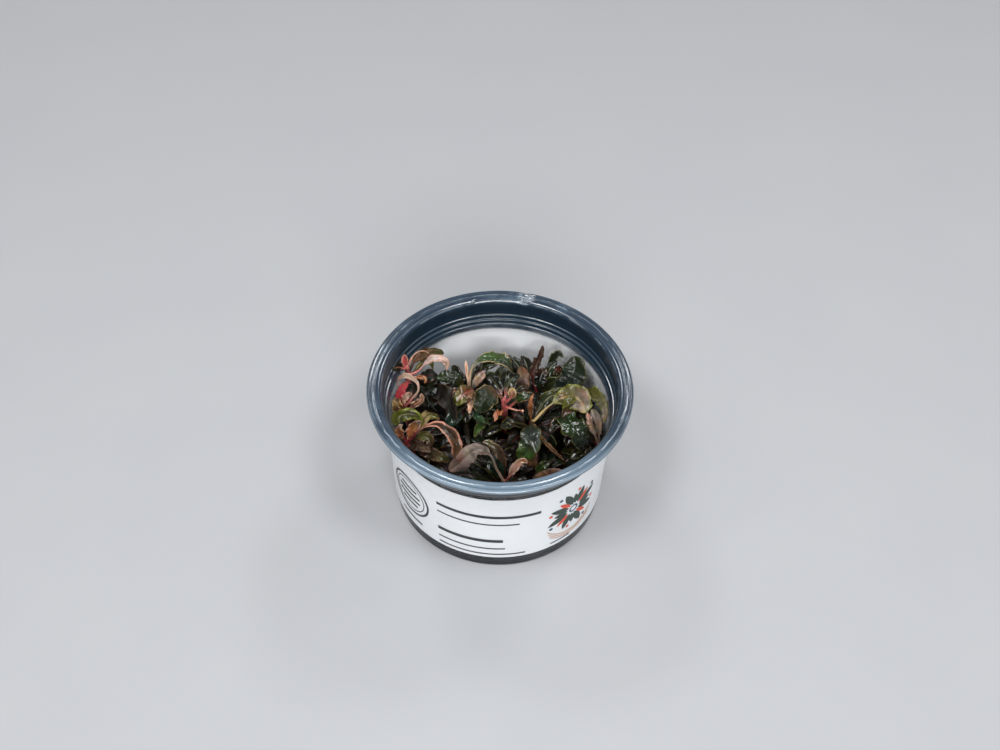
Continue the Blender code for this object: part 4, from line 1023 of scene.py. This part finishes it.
def rim_finish():
    """Slate-blue rim and collar with pale streaks, painted highlight lines, a painted front sheen and
    painted shade below the flange.
    """
    rim = Finish("rim_plastic", IOR=1.49, Transmission_Weight=0.25, Coat_IOR=1.5, Coat_Roughness=0.07)
    x, y, z = rim.axes()
    far = (x * x + y * y) ** 0.5
    haze, broken = rim.noise(9.0, 4.0, 0.6), rim.noise(5.0, 2.0, 0.5)
    scuff = rim.noise(1.6, 5.0, 0.7, warp=1.5)
    height = z.step(55.5, 59.6)
    # Painted shade: the collar's outside below the flange is much darker
    outside = far.step(44.0, 44.6) * z.step(58.0, 57.2)
    top = height * (1 - outside)
    round_place = rim.node("ShaderNodeCombineXYZ", {}, far * 0.0016, haze * 0.0005, z * 0.0006)[0]
    rings = rim.noise(1.0, 4.0, 0.7, round_place)
    # Painted highlights: thin pale lines along the ring ridge, the outer edge and the inner lip, broken
    # along their way
    shift = rim.noise(3.2, 3.0, 0.6) * 1.1 + haze * 1.6 - 1.35
    ridge_highlight = abs(far + shift - 47.4).step(0.3, 0.05) * broken.step(0.36, 0.5)
    edge = abs(far - 49.75).step(0.22, 0.06) * 0.6
    turn = abs(far - 44.6).step(0.25, 0.05) * broken.step(0.6, 0.4) * 0.6
    (dent_x, dent_y), _, _ = DENTS[0]
    beside = ((x - dent_x) ** 2 + (y - dent_y) ** 2).step(18.0, 6.0) * z.step(57.0, 58.5)
    scuff = scuff.step(0.66, 0.71) + beside * scuff.step(0.42, 0.6) * 1.5
    colour = rim.layers(
        (30, 50, 66), ((12, 20, 28), outside), ((38, 56, 74), top),
        # painted sheen: the rim's top is lighter towards the front
        ((132, 154, 172), y.step(-18.0, -44.0) * top * 0.65),
        ((112, 134, 152), haze.step(0.48, 0.75) * height * 0.4),
        ((150, 170, 186), rings.step(0.55, 0.75) * height * 0.3),
        ((212, 226, 236), (ridge_highlight + edge + turn) * height * 0.45), ((176, 192, 204), scuff * 0.3))
    relief = rim.bump(rim.noise(6.0, 3.0), 0.12, 0.5)
    return rim.dress(Base_Color=colour, Coat_Weight=0.9 - scuff * 0.4,
                     Roughness=0.26 + haze * 0.16 + scuff * 0.15,
                     Normal=rim.bump(rings * 0.7 + scuff * 0.3, 0.04, 0.5, relief))


def paper_finish(name, screen, shade, damp=0):
    """Smooth coated paper with a faint fibre grain, and damp stains on its lower part where asked."""
    paper = Finish(name, IOR=1.45)
    fibre, cloud = paper.noise(0.35, 4.0, 0.7), paper.noise(12.0, 3.0)
    colour = paper.layers(screen, (shade, cloud.step(0.35, 0.75) * 0.5 + fibre * 0.15))
    if damp:
        x, _, z = paper.axes()
        stain = paper.noise(1.8, 4.0, 0.65).step(0.42, 0.66) * x.step(10.0, 26.0) * z.step(45.0, 37.0)
        colour = paper.layers(colour, ((158, 158, 154), stain * damp))
    return paper.dress(Base_Color=colour, Roughness=0.42 + fibre * 0.15,
                       Normal=paper.bump(fibre * 0.7 + cloud * 0.3, 0.03, 0.5))


def ink_finish(name, screen):
    """Printed ink, slightly uneven, on the paper's grain."""
    ink = Finish(name, IOR=1.5)
    fibre = ink.noise(0.4, 4.0, 0.7)
    deep = tuple(0.72 * part for part in screen)
    return ink.dress(Base_Color=ink.layers(screen, (deep, fibre.step(0.35, 0.7) * 0.6)),
                     Roughness=0.36 + fibre * 0.14, Normal=ink.bump(fibre, 0.02, 0.4))


def gel_finish():
    """Clear culture gel, murky with what lies in it."""
    gel = Finish("culture_gel", IOR=1.34, Transmission_Weight=0.7)
    cloud, bits = gel.noise(5.0, 4.0, 0.6), gel.noise(2.2, 3.0)
    colour = gel.layers((150, 144, 118), ((84, 76, 54), cloud.step(0.3, 0.6)),
                        ("umber", bits.step(0.6, 0.75) * 0.5))
    return gel.dress(Base_Color=colour, Roughness=0.12 + cloud * 0.1,
                     Normal=gel.bump(gel.noise(3.0, 3.0), 0.5, 0.6))


def root_finish():
    """Fine pale roots, browner along their length."""
    root = Finish("root_thread", IOR=1.4)
    streak = root.noise(1.4, 3.0)
    return root.dress(Base_Color=root.layers("straw", ("umber", streak.step(0.4, 0.7))),
                      Roughness=0.5 + streak * 0.2, Normal=root.bump(root.noise(0.5, 3.0), 0.08, 0.6))


def floor_finish():
    """A plain pale floor."""
    floor = Finish("pale_floor")
    cloud = floor.noise(60.0, 2.0)
    colour = floor.layers((166, 168, 171), ((161, 163, 167), cloud))
    return floor.dress(Base_Color=colour, Roughness=0.6 + cloud * 0.1)


# The cup, the sleeve and the gel

def rounded(profile, radius):
    """The profile with its corners rounded, where both neighbouring edges have room."""
    points = [np.array(p, float) for p in profile]
    out = [points[0]]
    for before, corner, after in zip(points, points[1:], points[2:]):
        room = 0.45 * min(np.linalg.norm(before - corner), np.linalg.norm(after - corner))
        cut = min(radius, room)
        start = corner + unit(before - corner) * cut
        end = corner + unit(after - corner) * cut
        for u in np.arange(CORNER_STEPS + 1) / CORNER_STEPS:
            out.append((1 - u) ** 2 * start + 2 * u * (1 - u) * corner + u**2 * end)
    return out + [points[-1]]


def circle(x, y, radius, angles):
    """The points of a flat circle at the given angles."""
    return [(x + radius * math.cos(a), y + radius * math.sin(a)) for a in angles]


def arc(centre, radius, start, end):
    """Points of a round corner in a profile, from one angle to another in degrees."""
    angles = [math.radians(start + (end - start) * k / ARC_STEPS) for k in range(ARC_STEPS + 1)]
    return circle(*centre, radius, angles)


def steps_from(radius, height, *steps):
    """Points of a profile, each given by its step outwards and upwards from one place."""
    return [(radius + out, height + up) for out, up in steps]


def cup_profile():
    """From the middle of the underside, up the outside, over the rim and down the inside."""
    recess, foot_round, lip_round, floor_round = 1.0, 1.2, 1.9, 1.5
    foot_inner = BASE_RADIUS - 5.5
    neck = wall_radius(NECK)
    floor_edge = wall_radius(FLOOR + floor_round) - WALL - floor_round
    return [
        (0, recess), (foot_inner - recess, recess), (foot_inner, 0),
        *arc((BASE_RADIUS - foot_round, foot_round), foot_round, -90, 0),
        (neck, NECK), (neck + 0.25, STEP_HEIGHT - 0.9),
        *steps_from(COLLAR_RADIUS, STEP_HEIGHT, (-0.6, -0.5), (0, 0.2)),
        *steps_from(COLLAR_RADIUS, CUP_HEIGHT, (0.5, -2.4), (1.2, -1.5)),
        *steps_from(RIM_RADIUS, CUP_HEIGHT, (-0.7, -1.5), (-0.5, -1.9), (0, -1.5), (0, -0.7), (-0.9, 0)),
        *steps_from(RIM_RADIUS, CUP_HEIGHT, (-1.7, -0.4), (-2.3, -0.4), (-2.8, -0.05), (-3.4, -0.4)),
        *arc((COLLAR_RADIUS + 1.2, CUP_HEIGHT - 0.4 - lip_round), lip_round, 90, 180),
        *steps_from(COLLAR_RADIUS, STEP_HEIGHT, (-0.9, 2.0), (-1.4, 1.8), (-1.5, 0.2), (-2.3, 0)),
        (COLLAR_RADIUS - 2.5, STEP_HEIGHT - 1.5),
        (neck - WALL, STEP_HEIGHT - 1.7),
        *arc((floor_edge, FLOOR + floor_round), floor_round, 0, -90),
        (0, FLOOR),
    ]


# Dents on the flange and on the lip: their places from above, their reach and their depth
DENTS = (((9.2, 46.6), 4.2, 0.9), ((-10.8, 43.6), 1.6, 0.5))
DENTED_DOWN_TO = CUP_HEIGHT - 4


def dent(mesh):
    """Presses small cracked dents into the rim, deeper and shallower in turns."""
    for vertex in mesh.vertices:
        x, y, z = vertex.co / MM
        for (dent_x, dent_y), reach, depth in DENTS:
            share = 1 - math.hypot(x - dent_x, y - dent_y) / reach
            if share > 0 and z > DENTED_DOWN_TO:
                crack = 0.55 + 0.45 * math.sin(5.1 * x + 3.3 * y) * math.sin(3.7 * x - 4.9 * y + 1.3)
                vertex.co.z -= depth * min(1.0, 1.8 * share) * crack * MM


def turned(name, profile, materials, stands_for, second_above=CUP_HEIGHT):
    """A profile of (radius, height) points spun round Z. Faces above second_above take the second finish."""
    bm = bmesh.new()
    verts = [bm.verts.new((r * MM, 0, z * MM)) for r, z in profile]
    edges = [bm.edges.new(pair) for pair in zip(verts, verts[1:])]
    bmesh.ops.spin(bm, geom=verts + edges, axis=(0, 0, 1), angle=TAU, steps=CUP_STEPS, use_merge=True)
    bmesh.ops.remove_doubles(bm, verts=bm.verts, dist=1e-7)
    for face in bm.faces:
        face.material_index = int(face.calc_center_median().z > second_above * MM)
    return finished(name, mesh_from(bm, name), materials, stands_for)


def around(radius, angle, z):
    """A point round the cup, at an angle from the front's middle to the right."""
    return (radius * math.sin(angle), -radius * math.cos(angle), z)


def sleeve_point(arc_length, z, out=0.0):
    """A point on the sleeve's outside: arc length from the front's middle to the right, and height."""
    middle_radius = wall_radius(SLEEVE_HIGH / 2) + SNUG_GAP + PAPER
    return around(wall_radius(z) + SNUG_GAP + PAPER + out, arc_length / middle_radius, z)


def make_sleeve(outer, inner):
    """The paper sleeve with white outside, plain inside, and a lap where its ends meet at the back."""
    steps, lap_steps, thick = 240, 14, PAPER * 0.6
    bm = bmesh.new()
    verts = []
    for k in range(steps):
        lap = thick * (1 - k / steps) if k < lap_steps else 0.0
        ring = []
        for z, skin in ((SLEEVE_LOW, 0), (SLEEVE_HIGH, 0), (SLEEVE_HIGH, 1), (SLEEVE_LOW, 1)):
            radius = wall_radius(z) + SNUG_GAP + thick * skin + lap * skin
            ring.append(bm.verts.new(Vector(around(radius, TAU * k / steps + math.pi, z)) * MM))
        verts.append(ring)
    for here, there in zip(verts, verts[1:] + verts[:1]):
        for j in range(4):
            face = bm.faces.new((here[j], here[(j + 1) % 4], there[(j + 1) % 4], there[j]))
            face.material_index = int(j == 0)
    sleeve = finished("sleeve", mesh_from(bm, "sleeve"), [outer, inner], ("label",))
    sleeve.data.set_sharp_from_angle(angle=math.radians(40))


class Print:
    """Flat printed shapes on the sleeve, gathered into one mesh of closed thin bodies."""

    def __init__(self):
        self.bm = bmesh.new()

    def shape(self, outline, thick=0.04):
        """A filled outline of (arc length, height) points, wrapped on the sleeve."""
        top = [self.bm.verts.new(Vector(sleeve_point(s, z, thick)) * MM) for s, z in outline]
        low = [self.bm.verts.new(Vector(sleeve_point(s, z, 0.01)) * MM) for s, z in outline]
        n = len(outline)
        self.bm.faces.new(top)
        self.bm.faces.new(low[::-1])
        for k in range(n):
            self.bm.faces.new((low[k], low[(k + 1) % n], top[(k + 1) % n], top[k]))

    def bar(self, s0, s1, z, height):
        """A ruled line from s0 to s1, cut into short flats so that it follows the curve."""
        cuts = max(1, round((s1 - s0) / 1.2))
        for k in range(cuts):
            a, b = s0 + (s1 - s0) * k / cuts, s0 + (s1 - s0) * (k + 1) / cuts
            self.shape([(a, z - height / 2), (b, z - height / 2), (b, z + height / 2), (a, z + height / 2)])

    def ribbon(self, path, width):
        """A line of even width through (arc length, height) points."""
        path = [np.array(p, float) for p in path]
        for a, b in zip(path, path[1:]):
            along = unit(b - a)
            side = np.array((-along[1], along[0])) * width / 2
            reach = along * width * 0.25
            self.shape([tuple(a - side - reach), tuple(b - side + reach), tuple(b + side + reach),
                        tuple(a + side - reach)])

    def petal(self, s, z, length, width, angle):
        """A small leaf shape, pointed at both ends, as two fans that follow the curve."""
        turn = np.array(((math.cos(angle), -math.sin(angle)), (math.sin(angle), math.cos(angle))))
        steps = 8
        for k in range(steps):
            u0, u1 = k / steps, (k + 1) / steps
            w0, w1 = (width / 2 * math.sin(math.pi * u) ** 0.8 + 0.01 for u in (u0, u1))
            corners = ((u0 * length, -w0), (u1 * length, -w1), (u1 * length, w1), (u0 * length, w0))
            self.shape([tuple(np.array((s, z)) + turn @ np.array(c)) for c in corners])

    def ring(self, s, z, radius, width):
        self.ribbon(circle(s, z, radius, np.linspace(0, TAU, max(16, round(radius * 5)))), width)

    def dot(self, s, z, radius):
        self.shape(circle(s, z, radius, np.linspace(0, TAU, 14)[:-1]))

    def build(self, name, material):
        finished(name, mesh_from(self.bm, name), material).data.shade_flat()


def make_print():
    """Generic print: ruled lines, a ring with bars, and a rosette of pointed shapes with dots and arcs."""
    black = ink_finish("ink_black", (44, 46, 50))
    lines = Print()
    for s0, s1, z, height in ((-23.5, 16.5, 34.4, 1.5), (-23.5, 8.5, 29.4, 0.7), (-23.5, 2.5, 18.2, 1.8),
                              (-23.3, 3.4, 12.9, 0.7), (-23.3, 11.4, 9.0, 0.7), (22.0, 31.0, 9.0, 0.6)):
        lines.bar(s0, s1, z, height)
    lines.build("print_lines", black)
    seal, seal_middle = Print(), (-38.5, 25.5)
    for radius, width in ((10.4, 0.9), (8.4, 0.35)):
        seal.ring(*seal_middle, radius, width)
    for k in range(4):
        reach = 4.6 if k in (0, 3) else 6.2
        seal.bar(seal_middle[0] - reach, seal_middle[0] + reach, 21.0 + 3.0 * k, 1.0)
    seal.bar(-44.5, -32.0, 11.2, 0.9)
    seal.build("print_ring", black)
    green, red, blue, tan = Print(), Print(), Print(), Print()
    middle, petals = np.array((31.5, 26.0)), 16
    for k in range(petals):
        angle = TAU * (k + 0.5) / petals
        out = np.array((math.cos(angle), math.sin(angle)))
        sheet = (green, red, green, green)[k % 4]
        length, width = ((9.4, 3.3), (7.2, 2.0), (8.6, 3.0), (6.2, 2.4))[k % 4]
        sheet.petal(*(middle + out * 3.0), length, width, angle + 0.25)
        if k % 2:
            (blue if k % 4 == 1 else red).dot(*(middle + out * (12.0 if k % 4 == 1 else 10.8)), 0.8)
    blue.ring(*middle, 1.8, 0.7)
    for k, radius in enumerate((13.9, 15.0, 16.1)):
        span = np.linspace(math.radians(215 + 8 * k), math.radians(325 - 8 * k), 24)
        tan.ribbon(circle(*middle, radius, span), 0.35)
    green.build("print_rosette_green", ink_finish("ink_green", (40, 60, 50)))
    red.build("print_rosette_red", ink_finish("ink_red", (222, 82, 52)))
    blue.build("print_rosette_blue", ink_finish("ink_blue", (48, 74, 104)))
    tan.build("print_rosette_arcs", ink_finish("ink_tan", (206, 150, 104)))


def gel_profile():
    """From the middle of the underside, round the edge and over the top, a little lower inside the edge."""
    low, high = FLOOR + REST_GAP, GEL_TOP
    edge = wall_radius(low + 2) - WALL - REST_GAP
    wall = wall_radius(high) - WALL - REST_GAP
    top = [(wall - 0.2, high), (wall - 1.0, high - 0.5), (wall - 3.0, high - 0.8), (wall - 12, high - 0.7)]
    corner = arc((edge - 2, low + 2), 2, -90, 0)
    return [(0, low), *corner, (wall, high - 0.1), *top, (0, high - 0.6)]


def make_roots(material):
    """Fine roots that wander through the gel and against the wall."""
    roots, bends, step = 40, 6, 4
    straw = colour_of("straw")
    chance = random.Random(5)
    sheet = Sheet()
    limit = wall_radius(4) - WALL - 1.2
    for _ in range(roots):
        bearing = chance.uniform(0, TAU)
        x, y = chance.uniform(8, 34) * math.cos(bearing), chance.uniform(8, 34) * math.sin(bearing)
        z = chance.uniform(GEL_TOP - 1, GEL_TOP + 1.0)
        points = [(x, y, z)]
        heading = chance.uniform(0, TAU)
        for _ in range(bends):
            heading += chance.uniform(-0.8, 0.8)
            x, y = x + step * math.cos(heading), y + step * math.sin(heading)
            shrink = min(1, limit / math.hypot(x, y))
            x, y = x * shrink, y * shrink
            z = max(FLOOR + 1.2, z - chance.uniform(0.1, 1.4))
            points.append((x, y, z))
        taper = 1 - 0.7 * np.linspace(0, 1, ROOT_MESH[0])[:, None]
        radius = chance.uniform(0.16, 0.34) * taper * np.ones((1, ROOT_MESH[1]))
        add_tube(sheet, smooth_line(points, ROOT_MESH[0]), radius, (0.1, 0.2, 1), 0.5, straw, straw)
    piece("roots", sheet, material)


# Floor, lights and camera

CAMERA_DISTANCE = 566.2
CAMERA_ELEVATION = math.radians(53.15)
LOOK_DOWN = math.radians(48.79)
CAMERA_TURN = math.radians(0.03)
CAMERA_ROLL = 0.024
LENS, SENSOR = 50.0, 36.0

# Half the floor's side, in metres
FLOOR_HALF = 20

# In metres, each light's place, the height that it aims at on the axis and its size, then its power
LIGHTS = {
    "softbox_top_left": ((-0.4, -0.35, 1.1), 0.03, (0.3, 0.3), 6.5),
    "softbox_top_right": ((0.45, -0.3, 1.1), 0.03, (0.3, 0.3), 5.4),
    "softbox_back_left": ((-0.45, 0.7, 0.9), 0.04, (0.3, 0.25), 3),
    "softbox_back_right": ((0.55, 0.65, 0.85), 0.04, (0.3, 0.25), 3),
    "strip_right": ((0.75, 0.1, 0.8), 0.04, (0.14, 0.6), 0.8),
    "strip_left": ((-0.7, -0.25, 1.0), 0.04, (0.14, 0.6), 1.8),
    "fill_front": ((0.1, -1.1, 0.7), 0.02, (0.7, 0.4), 12),
}


def make_camera():
    """The photograph's view: from the front, well above the cup."""
    data = bpy.data.cameras.new("camera")
    data.lens, data.sensor_width = LENS, SENSOR
    data.clip_start = 0.01
    eye = Vector((0, -math.cos(CAMERA_ELEVATION), math.sin(CAMERA_ELEVATION))) * CAMERA_DISTANCE * MM
    turn = Matrix.Rotation(CAMERA_TURN, 4, "Z") @ Matrix.Rotation(math.pi / 2 - LOOK_DOWN, 4, "X")
    camera = bpy.data.objects.new("camera", data)
    camera.matrix_world = Matrix.Translation(eye) @ turn @ Matrix.Rotation(CAMERA_ROLL, 4, "Z")
    link(camera)
    bpy.context.scene.camera = camera


def make_floor():
    bm = bmesh.new()
    bmesh.ops.create_grid(bm, x_segments=2, y_segments=2, size=FLOOR_HALF)
    mesh = bpy.data.meshes.new("floor")
    bm.to_mesh(mesh)
    bm.free()
    mesh.materials.append(floor_finish())
    floor = bpy.data.objects.new("floor", mesh)
    link(floor)


def make_lights():
    """Soft studio light: boxes above and behind, a strip at each side, a fill in front, a dim surround."""
    for name, (place, aim, size, power) in LIGHTS.items():
        data = bpy.data.lights.new(name, "AREA")
        data.shape = "RECTANGLE"
        data.size, data.size_y = size
        data.energy = power
        light = bpy.data.objects.new(name, data)
        light.location = place
        light.rotation_euler = (Vector((0, 0, aim)) - Vector(place)).to_track_quat("-Z", "Y").to_euler()
        link(light)
    world = bpy.data.worlds.new("surround")
    world.use_nodes = True
    surround = world.node_tree.nodes["Background"].inputs
    surround["Color"].default_value = (0.8, 0.84, 0.88, 1)
    surround["Strength"].default_value = 0.09
    bpy.context.scene.world = world
    bpy.context.scene.view_settings.view_transform = "Standard"


def main():
    make_camera()
    make_floor()
    make_lights()
    plastics = [wall_finish(), rim_finish()]
    cup = turned("cup_wall", rounded(cup_profile(), CUP_CORNER), plastics, ("cup",),
                 RIM_FINISH_ABOVE)
    dent(cup.data)
    # The sleeve's inside uses a lighter paper than its outside: painted light for what reaches it through
    # the clear wall
    make_sleeve(paper_finish("paper_outside", (226, 229, 232), (218, 222, 226)),
                paper_finish("paper_inside_painted_light", (244, 246, 248), (234, 237, 240), 0.7))
    make_print()
    turned("culture_gel", rounded(gel_profile(), GEL_CORNER), gel_finish(), ("gel",))
    make_roots(root_finish())
    skin = leaf_finish()
    trees = make_leaves(skin)
    make_stems(stem_finish(), skin, trees)


main()
